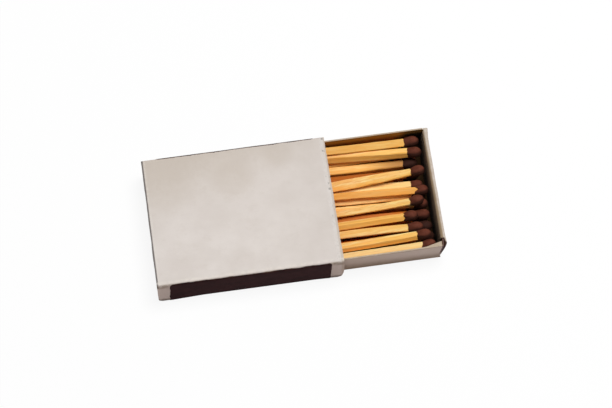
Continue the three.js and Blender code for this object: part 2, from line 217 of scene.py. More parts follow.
def light_sky():
    sky = bpy.data.worlds.new("studio_sky")
    shade = open_tree(sky)
    dim = shade.node("ShaderNodeBackground", None, {"Color": WHITE, "Strength": SKY_LEVEL})
    white = shade.node("ShaderNodeBackground", None, {"Color": WHITE, "Strength": 1})
    shade.node("ShaderNodeOutputWorld", None, {"Surface": mix_shaders(shown_rays(shade), dim, white)})
    scene.world = sky


def hang_lamp():
    lamp_data = bpy.data.lights.new("softbox", "AREA")
    lamp_data.shape = "DISK"
    lamp_data.size = LAMP_SIZE
    lamp_data.energy = LAMP_WATTS
    lamp = bpy.data.objects.new("softbox", lamp_data)
    lamp.location = LAMP_PLACE
    lamp.rotation_mode = "QUATERNION"
    lamp.rotation_quaternion = (VIEW_TARGET - LAMP_PLACE).to_track_quat("-Z", "Y")
    scene.collection.objects.link(lamp)


def lay_floor():
    mesh = bpy.data.meshes.new("floor")
    half = FLOOR_SIZE / 2
    corners = [(x * half, y * half, -FLOOR_DROP) for x, y in ((-1, -1), (1, -1), (1, 1), (-1, 1))]
    mesh.from_pydata(corners, [], [(0, 1, 2, 3)])
    paper = bpy.data.materials.new("floor_paper")
    shade = open_tree(paper)
    bounce = shade.node("ShaderNodeBsdfDiffuse", None, {"Color": FLOOR_BOUNCE})
    lit = shade.node("ShaderNodeBsdfDiffuse", None, {"Color": WHITE})
    glow = shade.node("ShaderNodeEmission", None, {"Color": WHITE, "Strength": 1})
    white = mix_shaders(SHADOW_SHARE, glow, lit)
    surface = mix_shaders(shown_rays(shade), bounce, white)
    shade.node("ShaderNodeOutputMaterial", None, {"Surface": surface})
    mesh.materials.append(paper)
    floor = bpy.data.objects.new("floor", mesh)
    scene.collection.objects.link(floor)


scene.view_settings.view_transform = "Standard"
light_sky()
hang_lamp()
lay_floor()
print("lamp", LAMP_WATTS, "W at", round((LAMP_PLACE - VIEW_TARGET).length, 2), "m, sky at", SKY_LEVEL)

# %% [markdown]
# ## Card as a folded sheet
# Sleeve, tray and strips are all thin sheets that follow a folded line. A plane with a Solidify modifier
# would give the thickness, but not sheets that branch, as the tray's card does at its corners. So each
# sheet is laid as a grid of points with a normal each, its two skins lie half a thickness to either side,
# and sheets that meet share their corners. What is still open at the end is a cut edge, and gets closed.

# %% A folded line
FOLD_STEPS = 7
WELD = 1e6  # corners closer than a micrometre are one
NEARLY = 1 / WELD


def fold_line(corners, radii, spacing):
    """Points along a folded line, and the normals on its right-hand side, each as an array of pairs."""
    corners = [np.array(corner, float) for corner in corners]
    places, headings = [corners[0]], []

    def run_to(goal, heading):
        start = places[-1]
        length = np.linalg.norm(goal - start)
        count = math.ceil(length / spacing) if length > NEARLY else 0
        if not headings:
            headings.append(heading)
        for step in range(1, count + 1):
            places.append(start + (goal - start) * step / count)
            headings.append(heading)

    for before, corner, after, radius in zip(corners, corners[1:], corners[2:], radii):
        into = (corner - before) / np.linalg.norm(corner - before)
        out = (after - corner) / np.linalg.norm(after - corner)
        turn = math.atan2(into[0] * out[1] - into[1] * out[0], into @ out)
        run_to(corner - into * radius * math.tan(abs(turn) / 2), into)
        if radius == 0:
            continue
        left = np.array((-into[1], into[0]))
        centre = places[-1] + left * radius * math.copysign(1, turn)
        arm = places[-1] - centre
        for step in range(1, FOLD_STEPS + 1):
            angle = turn * step / FOLD_STEPS
            spin = np.array(((math.cos(angle), -math.sin(angle)), (math.sin(angle), math.cos(angle))))
            places.append(centre + spin @ arm)
            headings.append(spin @ into)
    run_to(corners[-1], (corners[-1] - corners[-2]) / np.linalg.norm(corners[-1] - corners[-2]))
    return np.array(places), np.array([(heading[1], -heading[0]) for heading in headings])


line, _ = fold_line([(0, 0), (4, 0), (4, 3)], [1], 0.5)
print("a line with one fold:", len(line), "points")


# %% Sheets that weld where they meet
OUTSIDE, INSIDE, CUT = 0, 1, 2  # the material slots of a card's two skins and of its cut edges


class Card:
    """A mesh of thin sheets. Sheets that end at the same corners become one."""

    def __init__(self, thickness):
        self.thickness = thickness
        self.mesh = bmesh.new()
        self.corners = {}
        self.borders = []

    def corner(self, place):
        key = tuple(round(part * WELD) for part in place)
        if key not in self.corners:
            self.corners[key] = self.mesh.verts.new(place)
        return self.corners[key]

    def sheet(self, middle, normals):
        """A grid of points on the sheet's middle, with the normals of its outer skin."""
        half = self.thickness / 2
        outer = [[self.corner(place) for place in row] for row in middle + normals * half]
        inner = [[self.corner(place) for place in row] for row in middle - normals * half]
        rows, columns = len(outer), len(outer[0])
        for skin, slot in ((outer, OUTSIDE), (inner, INSIDE)):
            for r in range(rows - 1):
                for c in range(columns - 1):
                    quad = (skin[r][c], skin[r][c + 1], skin[r + 1][c + 1], skin[r + 1][c])
                    self.mesh.faces.new(quad).material_index = slot
        top = [(0, c) for c in range(columns)]
        right = [(r, columns - 1) for r in range(1, rows)]
        bottom = [(rows - 1, c) for c in range(columns - 2, -1, -1)]
        left = [(r, 0) for r in range(rows - 2, 0, -1)]
        border = top + right + bottom + left
        for (r, c), (next_r, next_c) in zip(border, border[1:] + border[:1]):
            self.borders.append((outer[r][c], outer[next_r][next_c], inner[next_r][next_c], inner[r][c]))

    def close(self):
        for quad in self.borders:
            edge = self.mesh.edges.get(quad[:2])
            if len(edge.link_faces) == 1:
                self.mesh.faces.new(quad).material_index = CUT
        bmesh.ops.recalc_face_normals(self.mesh, faces=self.mesh.faces)


sample = Card(0.1)
sample.sheet(np.array([[(x, y, 0) for x in (0, 1)] for y in (0, 1)]), np.array([[(0, 0, 1)] * 2] * 2))
sample.close()
print("a flat card has faces in the slots", [face.material_index for face in sample.mesh.faces])
sample.mesh.free()

# %% From a mesh to a piece of the box
SOFT_ANGLE = math.radians(35)  # edges that turn by less are shaded smooth
EASE_ANGLE = math.radians(50)  # and those that turn by more can get a bevel
EASE_SEGMENTS = 2
SEED_STEP = 17.3  # how far apart the noise of two seeds is read


def make_object(name, built):
    """A smooth-shaded object from a bmesh, with its sharp edges kept sharp."""
    mesh = bpy.data.meshes.new(name)
    built.to_mesh(mesh)
    built.free()
    mesh.polygons.foreach_set("use_smooth", [True] * len(mesh.polygons))
    mesh.set_sharp_from_angle(angle=SOFT_ANGLE)
    made = bpy.data.objects.new(name, mesh)
    scene.collection.objects.link(made)
    return made


def ease_edges(piece, width):
    """Cut card has no razor edges: a small bevel catches the light on them."""
    bevel = piece.modifiers.new("eased_edges", "BEVEL")
    bevel.width = width
    bevel.segments = EASE_SEGMENTS
    bevel.limit_method = "ANGLE"
    bevel.angle_limit = EASE_ANGLE


def stand_in(piece, node, body):
    """The piece takes the place of a solid and moves with its body."""
    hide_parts(node)
    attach(piece, body)
    print(piece.name, "stands for", node, "with", len(piece.data.polygons), "faces")


def drift(place, length, seed):
    """Smooth noise from -1 to 1 with lumps of about this length."""
    return noise.noise(Vector(place) / length + Vector((0, 0, SEED_STEP * seed)))


samples = [round(drift((0.3, 0.2, 0.1), 1, seed), 2) for seed in (1, 2, 3)]
print("drift at one place, for three seeds:", samples)


# %% [markdown]
# ## The sleeve
# One strip of board goes round in a ring: a lap, the floor, the back, the roof, and the front panel that
# is glued over the lap. Extruding the ring's edge view is enough for a new box. A used one has a roof
# that is a little crowned, mouths that aren't cut quite straight, a lower front edge that a thumb has
# pressed in, and corners that have gone blunt. So the grid's points are nudged after the folding, most
# of them by a fraction of a millimetre.

# %% Sleeve sizes from the frame
SLEEVE_CARD = 0.45 * MM
SLEEVE_FOLD = 0.3 * MM  # inside radius
SEAM = 0.48 * MM  # the lap and its glue
LAP_GAP = 0.6 * MM  # from the lap's free edge to the roof
PANEL_LIFT = 0.15 * MM  # the front panel ends just above the floor
CARD_SPACING = 0.9 * MM
sleeve_low, sleeve_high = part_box("sleeve")
sleeve_half = (sleeve_high.x - sleeve_low.x) / 2
side_half = (sleeve_high.y - sleeve_low.y) / 2
roof = sleeve_high.z
print("sleeve in mm:", [round(c / MM, 2) for c in sleeve_high - sleeve_low])

# %% What handling has done to the sleeve
PANEL_CORNER = 1.1 * MM  # radius of the front panel's lower corners
MOUTH_DRIFT = 0.09 * MM  # how far the cut of a mouth wanders
LONG_WAVE, SHORT_WAVE = 5 * MM, 1.4 * MM  # the lengths of those waves
MOUTH_FADE = 12  # the power by which they fade away from the mouth
MOUTH_SKEW = 0.32 * MM  # the right mouth wasn't cut square: its front end reaches this much further
MOUTH_WEAR = 0.9 * MM  # and its lower front corner is worn round
WEAR_HEIGHT = 5 * MM
BUMP, BUMP_LENGTH = 0.05 * MM, 9 * MM  # of the card's gentle bumps
FRONT_PRESS = 0.32 * MM  # how far the front's lower edge was pressed in
PRESS_DEPTH = 4 * MM  # how far that reaches across the floor
PRESS_HEIGHT = 9 * MM  # and up the front
PRESS_START, PRESS_END = -22 * MM, 26 * MM
PRESS_RISE, PRESS_FALL = 9 * MM, 8 * MM


def corner_inset(from_edge, radius):
    """How far a rounded corner draws a row in, at a distance from the edge that it rounds."""
    short = max(0, radius - from_edge)
    return radius - math.sqrt(max(0, radius**2 - short**2))


def mouth_shift(share, y, z, skew):
    """How far a point moves along the sleeve, from nothing at its middle to most at its mouths."""
    mouth = abs(share) ** MOUTH_FADE * math.copysign(1, share)
    wander = drift((share, y, z), LONG_WAVE, 1) + drift((share, y, z), SHORT_WAVE, 2) / 2
    return mouth * MOUTH_DRIFT * wander + max(0, mouth) * skew


def front_press(x, y, z):
    """How far the sleeve's front has been pressed in at a place: most at its lower edge."""
    along = min(1, max(0, (x - PRESS_START) / PRESS_RISE)) * min(1, max(0, (PRESS_END - x) / PRESS_FALL))
    across = max(0, 1 - max(0, y + side_half) / PRESS_DEPTH)
    return FRONT_PRESS * along * across * max(0, 1 - z / PRESS_HEIGHT)


def panel_lump(x, y, z):
    """The bumps of the sleeve's card above its floor, which the strips on it follow."""
    return BUMP * drift((x, y, z), BUMP_LENGTH, 3) * (z > SLEEVE_CARD)


print("front pressed in by", round(front_press(0, -side_half, 0) / MM, 2), "mm at its middle")

# %% Fold the sleeve
ROOF_CROWN = 0.14 * MM
CUT_EASE = 0.07 * MM


def fold_sleeve():
    middle = SLEEVE_CARD / 2
    front, back = -side_half + middle, side_half - middle
    lap = front + SEAM
    corners = [
        (lap, roof - SLEEVE_CARD - LAP_GAP),
        (lap, middle),
        (back, middle),
        (back, roof - middle),
        (front, roof - middle),
        (front, PANEL_LIFT + PANEL_CORNER),
        (front, PANEL_LIFT),
    ]
    fold = SLEEVE_FOLD + middle
    places, normals = fold_line(corners, [fold, fold, fold, fold, 0], CARD_SPACING)
    along = np.linspace(-1, 1, round(2 * sleeve_half / CARD_SPACING) + 1)
    grid, outward = [], []
    for (y, z), (ny, nz) in zip(places, normals):
        from_corner = max(z, y - lap) - PANEL_LIFT
        inset = corner_inset(from_corner, PANEL_CORNER)
        worn = MOUTH_WEAR * max(0, 1 - from_corner / WEAR_HEIGHT) ** 2
        skew = MOUTH_SKEW * (1 - y / side_half) / 2 - worn
        row = []
        for share in along:
            x = share * (sleeve_half - inset) + mouth_shift(share, y, z, skew)
            crown = ROOF_CROWN * (1 - share**2) * max(0, 1 - (y / side_half) ** 2) if z > roof / 2 else 0
            lump = panel_lump(x, y, z)
            row.append((x, y + ny * lump + front_press(x, y, z), z + nz * lump + crown))
        grid.append(row)
        outward.append([(0, ny, nz)] * len(along))
    card = Card(SLEEVE_CARD)
    card.sheet(np.array(grid), np.array(outward))
    card.close()
    return make_object("sleeve_card", card.mesh)


sleeve_card = fold_sleeve()
ease_edges(sleeve_card, CUT_EASE)
stand_in(sleeve_card, "sleeve", "sleeve")

# %% [markdown]
# ## Striking strips
# Each strip is a coat of grit and binder printed along a narrow side and a little way round its folds.
# It could be a patch of colour on the card. But on the real box it stands a little proud, it was printed
# slightly askew, and its edge wanders. So it is a sheet of its own that follows the card's bumps, and the
# turn of the fold that it covers changes along its length.

# %% The line that a strip follows
STRIP_THICKNESS = 0.06 * MM
STRIP_BOND = 0.01 * MM
STRIP_WRAP = {"front": math.radians(46), "back": math.radians(60)}
WRAP_DRIFT = math.radians(12)
LONG_CREEP, SHORT_CREEP = 3 * MM, 0.9 * MM  # the lengths of the waves in a strip's upper edge
SHORT_SHARE = 0.6
strip_radius = SLEEVE_FOLD + SLEEVE_CARD + STRIP_BOND + STRIP_THICKNESS / 2  # of its middle, round a fold
bend_y = side_half + STRIP_BOND + STRIP_THICKNESS / 2 - strip_radius  # the middle of that fold
bend_z = roof - SLEEVE_FOLD - SLEEVE_CARD


def wrap_at(name, along):
    """The turn of the fold that a strip covers, at a distance from its middle."""
    creep = drift((along, 0, 0), LONG_CREEP, 4) + drift((along, 0, 0), SHORT_CREEP, 5) * SHORT_SHARE
    return STRIP_WRAP[name] + WRAP_DRIFT * creep


def down_side(run, wrap, straight_low):
    """The place and the angle at a distance from the upper edge: round the fold, down, and round again."""
    bend, drop = strip_radius * wrap, bend_z - straight_low
    if run < bend:
        angle = math.pi / 2 - wrap + run / strip_radius
        return bend_y + strip_radius * math.sin(angle), bend_z + strip_radius * math.cos(angle), angle
    if run <= bend + drop:
        return bend_y + strip_radius, bend_z - (run - bend), math.pi / 2
    angle = math.pi / 2 + (run - bend - drop) / strip_radius
    return bend_y + strip_radius * math.sin(angle), straight_low + strip_radius * math.cos(angle), angle


print("a strip turns round its fold at", round(strip_radius / MM, 2), "mm")

# %% Lay the strips
STRIP_CORNER = 0.6 * MM
STRIP_SKEW = 0.65 * MM  # the coat was printed a little askew, which shows at its two ends
STRIP_RUN_ON = {"front": 0.53 * MM, "back": 0}  # how much further the coat reaches at its left end
END_DRIFT, END_WAVE = 0.18 * MM, 1.6 * MM
END_APART = 9 * MM  # so that the two ends of a strip don't wander alike
STRIP_ROWS, STRIP_SPACING = 26, 0.35 * MM


def lay_strip(name, node, side):
    low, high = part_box(node)
    run_on = STRIP_RUN_ON[name]
    middle_x, half = (low.x + high.x - run_on) / 2, (high.x - low.x + run_on) / 2
    straight_low = PANEL_LIFT if side < 0 else roof - bend_z
    grid, outward = [], []
    for share in np.linspace(-1, 1, round(2 * half / STRIP_SPACING) + 1):
        wrap = wrap_at(name, share * half)
        bend = strip_radius * wrap
        length = bend + bend_z - straight_low + (bend if side > 0 else 0)
        places, normals = [], []
        for run in np.linspace(0, length, STRIP_ROWS):
            out, z, angle = down_side(run, wrap, straight_low)
            inset = corner_inset(run if side < 0 else min(run, length - run), STRIP_CORNER)
            inset += END_DRIFT * drift((run, math.copysign(END_APART, share), 0), END_WAVE, 6)
            x = middle_x + STRIP_SKEW * (z / roof - 0.5) + share * (half - inset)
            lump = panel_lump(x, side * (side_half - SLEEVE_CARD / 2), z)
            normal = (0, side * math.sin(angle), math.cos(angle))
            y = side * out + normal[1] * lump
            places.append((x, y + front_press(x, y, z), z + normal[2] * lump))
            normals.append(normal)
        grid.append(places)
        outward.append(normals)
    strip = Card(STRIP_THICKNESS)
    strip.sheet(np.array(grid), np.array(outward))
    strip.close()
    made = make_object(f"{name}_strip", strip.mesh)
    stand_in(made, node, "sleeve")
    return made


front_strip = lay_strip("front", "front_striker", -1)
back_strip = lay_strip("back", "back_striker", 1)

# %% [markdown]
# ## The tray
# One card again, cut so that it folds into a drawer without glue. The side walls turn in at their ends
# as flaps. The end walls come up outside the flaps, roll over them and go down again inside, and that
# roll is the pale rim across the open end. Boxes could stand for the walls, but the rim, the leaning end
# walls and the gaps at the corners are what makes it a folded tray. So it is folded here too: a trough,
# two end walls, four flaps and the small webs under them, welded where they meet. The near corner of the
# open end is worn: its panel and roll are short, its flap is pressed in, and the rim beside it has split.

# %% Tray sizes from the frame
TRAY_CARD = 0.4 * MM
TRAY_FOLD = 0.35 * MM  # inside radius
PLY_GAP = 0.05 * MM
END_LEAN = 0.8 * MM  # of both end walls, at the rim
WALL_LEAN = 0.45 * MM  # of the near side wall
tray_low, tray_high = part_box("tray")
tray_height = tray_high.z - tray_low.z
outer_half_width = (tray_high.y - tray_low.y - WALL_LEAN) / 2
tray_middle = Vector(((tray_low.x + tray_high.x) / 2, tray_high.y - outer_half_width, tray_low.z))
wall_line = outer_half_width - TRAY_CARD / 2
outer_half_length = (tray_high.x - tray_low.x) / 2 - END_LEAN
outer_ply = outer_half_length - TRAY_CARD / 2
flap_ply = outer_ply - TRAY_CARD - PLY_GAP
inner_ply = flap_ply - TRAY_CARD - PLY_GAP
tray_bend = TRAY_FOLD + TRAY_CARD / 2
straight_half = flap_ply - tray_bend
roll_half = wall_line - TRAY_CARD / 2 - TRAY_FOLD - PLY_GAP
flap_top = tray_height - TRAY_CARD - PLY_GAP
print("tray in mm:", [round(c / MM, 2) for c in tray_high - tray_low])

# %% How wide an end wall is, and where it has sprung open
PANEL_HALF = outer_half_width - PLY_GAP  # the end panels reach past their inner plies, over the flaps
PANEL_ROUND = 0.4 * MM  # radius of a panel's upper corners
WORN_PANEL = PANEL_HALF - 0.85 * MM  # the panel is shorter at the worn corner
WORN_ROLL = roll_half - 1.55 * MM  # and so is the roll
WORN_ROUND = 1.2 * MM
SLANT = 0.4  # the share of its height over which a panel's lower corner is cut at a slant
TURN_SHARE = 0.3  # the share of that slant that lies in the turn up from the floor
INNER_SIDE = -0.6  # a normal that points further inwards than this is on the inner ply
CORNER_SPRING = 0.3 * MM  # how far the corners of a panel have sprung off their flaps
SPRUNG_WIDTH = 4.5 * MM
BULGE_START, BULGE_SPAN = 0.22, 0.95  # of the worn corner's bulge, as shares of the height


def is_worn(end, y):
    return end > 0 and y < 0


def end_half_width(x, z, nx, worn):
    """Half the width of an end wall, which is narrow at the floor and inside, and wide over the flaps."""
    in_roll = z > tray_height / 2 and x < outer_ply - TRAY_CARD / 2
    if nx < INNER_SIDE or worn and in_roll:
        return WORN_ROLL if worn else roll_half
    in_turn = max(0, x - straight_half) / tray_bend
    up_panel = (z - TRAY_CARD / 2) / tray_height / SLANT
    widened = TURN_SHARE * in_turn + (1 - TURN_SHARE) * up_panel
    wide = WORN_PANEL if worn else PANEL_HALF
    wide -= corner_inset(tray_height - z, WORN_ROUND if worn else PANEL_ROUND)
    return roll_half + (wide - roll_half) * min(1, widened)


def panel_spring(end, y, height):
    """How far an end panel stands off its flap: most in its upper part, and only at its sides."""
    reach = max(0, abs(y) - roll_half + SPRUNG_WIDTH) / SPRUNG_WIDTH
    bulge = math.sin(math.pi * (height - BULGE_START) / BULGE_SPAN) if is_worn(end, y) else height
    return CORNER_SPRING * reach**2 * bulge


print("end panels are", round(2 * PANEL_HALF / MM, 2), "mm wide, their rolls", round(2 * roll_half / MM, 2))

# %% Trough and webs
TRAY_SPACING = 0.8 * MM
CORNER_WEB = 0.75 * MM  # how far the turn between floor and wall runs on under the flaps


def fold_trough(card):
    """Floor and side walls. Gives the places at which its other parts meet it, and the turn of its card."""
    middle = TRAY_CARD / 2
    corners = [
        (-wall_line, tray_height),
        (-wall_line, flap_top),
        (-wall_line, middle),
        (-roll_half, middle),
        (roll_half, middle),
        (wall_line, middle),
        (wall_line, flap_top),
        (wall_line, tray_height),
    ]
    places, normals = fold_line(corners, [0, tray_bend, 0, 0, tray_bend, 0], TRAY_SPACING)
    along = np.linspace(-straight_half, straight_half, round(2 * straight_half / TRAY_SPACING) + 1)
    grid = [[(x, y, z) for x in along] for y, z in places]
    outward = [[(0, ny, nz)] * len(along) for ny, nz in normals]
    card.sheet(np.array(grid), np.array(outward))
    wall_foot = tray_bend + middle
    floor_y = [y for y, z in places if abs(y) <= roll_half + NEARLY]
    on_wall = [z for y, z in places if y < NEARLY - wall_line]
    wall_z = [z for z in on_wall if wall_foot - NEARLY <= z <= flap_top + NEARLY]
    turn = (places[:, 0] > roll_half - NEARLY) & (places[:, 1] < wall_foot + NEARLY)
    return floor_y, wall_z, (places[turn], normals[turn])


def fold_web(card, end, side, turn):
    """The turn between floor and wall runs on a little way at a corner, and closes it from below."""
    ends = (end * straight_half, end * (straight_half + CORNER_WEB))
    grid = [[(x, side * y, z) for x in ends] for y, z in turn[0]]
    outward = [[(0, side * ny, nz)] * 2 for ny, nz in turn[1]]
    card.sheet(np.array(grid), np.array(outward))


print("straight walls are", round(2 * straight_half / MM, 2), "mm long")

# %% End walls and flaps
OUTER_SIDE = -0.01  # a normal that points no further inwards is on the outer ply or on top of the roll
FLAP_LENGTH = 9 * MM
FLAP_SLANT = 2.2 * MM  # the flap in the worn corner goes to its place at a slant
TIGHT_FOLD = 0.24 * MM  # after a tighter fold
TIGHT_TURN = 0.45 * MM  # where that lies, from the end of the straight wall


def fold_end(card, end, floor_y):
    middle = TRAY_CARD / 2
    corners = [
        (straight_half, middle),
        (outer_ply, middle),
        (outer_ply, tray_height - middle),
        (inner_ply, tray_height - middle),
        (inner_ply, TRAY_CARD + PLY_GAP),
    ]
    roll = (outer_ply - inner_ply) / 2
    places, normals = fold_line(corners, [tray_bend, roll, roll], TRAY_SPACING / 2)
    grid, outward = [], []
    for (x, z), (nx, nz) in zip(places, normals):
        outer = max(0, (x - flap_ply) / (outer_ply - flap_ply)) if nx > OUTER_SIDE else 0
        row = []
        for y in floor_y:
            spread = end_half_width(x, z, nx, is_worn(end, y)) / roll_half
            row.append((end * (x + outer * panel_spring(end, y, z / tray_height)), y * spread, z))
        grid.append(row)
        outward.append([(end * nx, 0, nz)] * len(floor_y))
    card.sheet(np.array(grid), np.array(outward))


def fold_flap(card, end, side, wall_z):
    corners = [(straight_half, -wall_line), (flap_ply, -wall_line), (flap_ply, -wall_line + FLAP_LENGTH)]
    radii = [tray_bend]
    if is_worn(end, side):
        corners[1:2] = [(straight_half + TIGHT_TURN, -wall_line), (flap_ply, -wall_line + FLAP_SLANT)]
        radii = [TIGHT_FOLD, FLAP_SLANT / 2]
    places, normals = fold_line(corners, radii, TRAY_SPACING)
    grid = [[(end * x, -side * y, z) for z in wall_z] for x, y in places]
    outward = [[(end * nx, -side * ny, 0)] * len(wall_z) for nx, ny in normals]
    card.sheet(np.array(grid), np.array(outward))


plies = [round((outer_half_length - ply) / MM, 2) for ply in (outer_ply, flap_ply, inner_ply)]
print("plies of an end wall, in mm from its outer face:", plies)

# %% Fold and settle the tray
PUSHED_OUT = 0.3 * MM  # how much more the open end leans
RIM_DRIFT, RIM_WAVE = 0.08 * MM, 6 * MM
WALL_BOW = 0.15 * MM
SPLIT_RIM = 1.05 * MM  # beside the worn corner the wall's card has split along the rim
SPLIT_LENGTH = 4.3 * MM
PRESSED_IN = 0.1 * MM


def rim_split(x, y, z):
    """How far the inner half of the near wall's rim has split off, most of all at the worn corner."""
    if not -wall_line < y < -wall_line + TRAY_CARD or z < tray_height - NEARLY:
        return 0
    return SPLIT_RIM * max(0, 1 - (straight_half - x) / SPLIT_LENGTH)


def corner_press(x, y, z):
    """How far the fold of the worn corner has been pressed in, below the rim."""
    if x > flap_ply + TRAY_CARD / 2 + PLY_GAP / 2 or z > flap_top + PLY_GAP:
        return 0
    along = max(0, 1 - max(0, straight_half - x) / FLAP_SLANT)
    across = max(0, 1 - (y + wall_line) / FLAP_SLANT)
    return PRESSED_IN * along * min(1, across) * min(1, 2 * z / tray_height)


def settle_tray(mesh):
    """Leans and bows the walls as the matches press on them, and moves the tray to where its solid lies."""
    for corner in mesh.verts:
        x, y, z = corner.co
        height = z / tray_height
        x -= corner_press(x, y, z)
        y += rim_split(x, y, z)
        lean = END_LEAN + PUSHED_OUT if x > 0 else END_LEAN
        x *= 1 + lean / outer_half_length * height
        x += RIM_DRIFT * height * drift((0, y, x), RIM_WAVE, 7)
        if y < 0:
            bow = WALL_BOW * max(0, 1 - (x / straight_half) ** 2)
            y *= 1 + (WALL_LEAN + bow) / outer_half_width * height
        corner.co = Vector((x, y, z)) + tray_middle


def fold_tray():
    card = Card(TRAY_CARD)
    floor_y, wall_z, turn = fold_trough(card)
    for end in (1, -1):
        fold_end(card, end, floor_y)
        for side in (1, -1):
            fold_web(card, end, side, turn)
            fold_flap(card, end, side, wall_z)
    card.close()
    settle_tray(card.mesh)
    return make_object("tray_card", card.mesh)


tray_card = fold_tray()
ease_edges(tray_card, CUT_EASE)
stand_in(tray_card, "tray", "tray")

# %% [markdown]
# ## Where each match lies
# The pile is settled already: every splint has its place, its lean and a small turn about its length.
# Those could be copied here as numbers, but then a new pile would need new numbers. Measuring is better:
# a splint's long axis is the main direction of its corners, and its most upright flat face says which
# way is up. Each match then gets a matrix of its own, and is modelled lying along X from its tail.

# %% Measure the matches
PLACE_DIGITS = 7  # corners that agree in so many decimals of a metre are one


def corners_of(node):
    places = np.array([vertex.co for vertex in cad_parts[node].data.vertices])
    return np.unique(places.round(PLACE_DIGITS), axis=0)


def measure_match(name):
    splint = corners_of(f"{name}_splint")
    head = corners_of(f"{name}_head")
    middle = splint.mean(0)
    along = np.linalg.svd(splint - middle)[2][0]
    along *= np.sign((head.mean(0) - middle) @ along)
    tail = middle + along * ((splint - middle) @ along).min()
    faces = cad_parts[f"{name}_splint"].data.polygons
    widest = max(face.area for face in faces)
    flats = [face for face in faces if face.area > widest / 2]
    up = np.array(max(flats, key=lambda face: face.normal.z).normal)
    up -= along * (up @ along)
    up /= np.linalg.norm(up)
    turn = Matrix((along, np.cross(up, along), up)).transposed().to_4x4()
    reach = (head - tail) @ along
    ring = np.linalg.norm(head - tail - np.outer(reach, along), axis=1)
    return {
        "name": name,
        "number": int(name.split("_")[1]),
        "matrix": Matrix.Translation(Vector(tail)) @ turn,
        "length": float(((splint - tail) @ along).max()),
        "half": float(((splint - middle) @ up).max()),
        "collar": float(reach.min()),
        "tip": float(reach.max()),
        "radius": float(ring.max()),
    }


match_names = sorted({node.rsplit("_", 1)[0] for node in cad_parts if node.startswith("match_")})
matches = [measure_match(name) for name in match_names]
first_sizes = [round(matches[0][size] / MM, 2) for size in ("tip", "half", "radius")]
print(len(matches), "matches; length, half a splint and the radius of a head in mm:", first_sizes)

# %% [markdown]
# ## Splints
# A splint is split from a veneer, so it is square but never exact: its sides wander, its edges are a
# little broken, and it is slightly bent and twisted. A long box with a bump on it would do from afar. Up
# close the outline has to wander too, so a splint is a loft, that is rings of points joined by faces, and
# a loop shapes every ring. Some splints came out thicker, wider or more bent than others, or lie rolled
# to a side. Those are told apart by the numbers of their matches.

# %% How single splints came out
THICKNESS = {  # as a share of the solid's
    20: 1.08, 21: 1.13, 22: 0.82, 23: 0.98, 24: 0.97, 25: 0.92, 26: 1.06, 27: 1.05, 28: 0.95,
}
WIDENED = {14: 0.45, 15: 0.3, 17: 0.22, 22: 0.75, 25: 0.15, 28: 0.28}  # by this share, at the middle
ROLLED = {20: (-20, 15), 22: (26, 20)}  # the top goes to the front by so many degrees, at tail and head
BOWED = {12: 1.1, 13: 0.15, 14: 0.6, 15: 0.3, 18: 0.9}  # upwards in millimetres, at the middle
SWAYED = {  # to the back in millimetres, at the sleeve's mouth and at the head
    13: (0.15, 0.15), 15: (-0.25, -0.5), 17: (0, 0.15), 20: (-0.05, -0.2), 21: (-0.15, 0),
    22: (-0.15, 0.3), 23: (0, -0.1), 24: (-0.35, 0.15), 25: (-0.15, -0.15), 26: (0.3, -0.6),
    27: (-0.25, -0.45), 28: (-0.35, -0.5),
}
print("splints with a form of their own:", sorted({*THICKNESS, *WIDENED, *ROLLED, *BOWED, *SWAYED}))

# %% A ring of a splint
FLAT_STEPS = 4  # points across each of the four sides
SPLINT_EDGE = 0.2 * MM
SIDE_DRIFT, SIDE_WAVE = 0.05 * MM, 4 * MM
EDGE_CHIP, CHIP_LENGTH = 0.14 * MM, 1.8 * MM
CHIP_LEVEL = 0.25  # noise above this breaks an edge
SIDE_APART, EDGE_APART = 5 * MM, 3 * MM  # so that the sides and edges of a splint don't wander alike
SPLINT_BEND = 0.16 * MM
SPLINT_TWIST = math.radians(12)


def splint_section(match, x):
    """The ring of a splint at a distance from its tail. The fractions keep its wanderings apart."""
    seed, share = match["number"], x / match["length"]
    half = match["half"] * THICKNESS.get(seed, 1)
    flat = half - SPLINT_EDGE
    arch = math.sin(math.pi * share)
    wide = 1 + WIDENED.get(seed, 0) * arch
    shift_y = SPLINT_BEND * arch * drift((0, 0, 0), 1, seed + 0.31)
    shift_z = SPLINT_BEND * arch * drift((0, 0, 0), 1, seed + 0.57) + BOWED.get(seed, 0) * MM * arch
    at_tail, at_head = ROLLED.get(seed, (0, 0))
    turn = math.radians(at_tail + (at_head - at_tail) * share)
    turn += SPLINT_TWIST * (0.5 - share) * drift((0, 0, 0), 1, seed + 0.83)
    ring = []
    for side in range(4):
        angle = side * math.pi / 2
        for step in range(FLAT_STEPS):
            across = flat * (2 * step / (FLAT_STEPS - 1) - 1)
            on_edge = step in (0, FLAT_STEPS - 1)
            out = half + SIDE_DRIFT * drift((x, across, side * SIDE_APART), SIDE_WAVE, seed)
            chip = drift((x, side * EDGE_APART, across), CHIP_LENGTH, seed + 0.7)
            out -= EDGE_CHIP * max(0, chip - CHIP_LEVEL) * on_edge
            y = wide * (out * math.cos(angle) - across * math.sin(angle))
            z = out * math.sin(angle) + across * math.cos(angle)
            turned_y = y * math.cos(turn) - z * math.sin(turn)
            turned_z = y * math.sin(turn) + z * math.cos(turn)
            ring.append((x, turned_y + shift_y, turned_z + shift_z))
    return ring


print("a splint's ring has", len(splint_section(matches[0], 0)), "points")

# %% Loft a splint
SPLINT_RINGS = 44
TAIL_EASE, TAIL_SHARE = 0.06 * MM, 0.94  # the tail's end is a little narrower than the wood behind it
MOUTH_SHARE = 0.37  # of a splint's length lies inside the sleeve


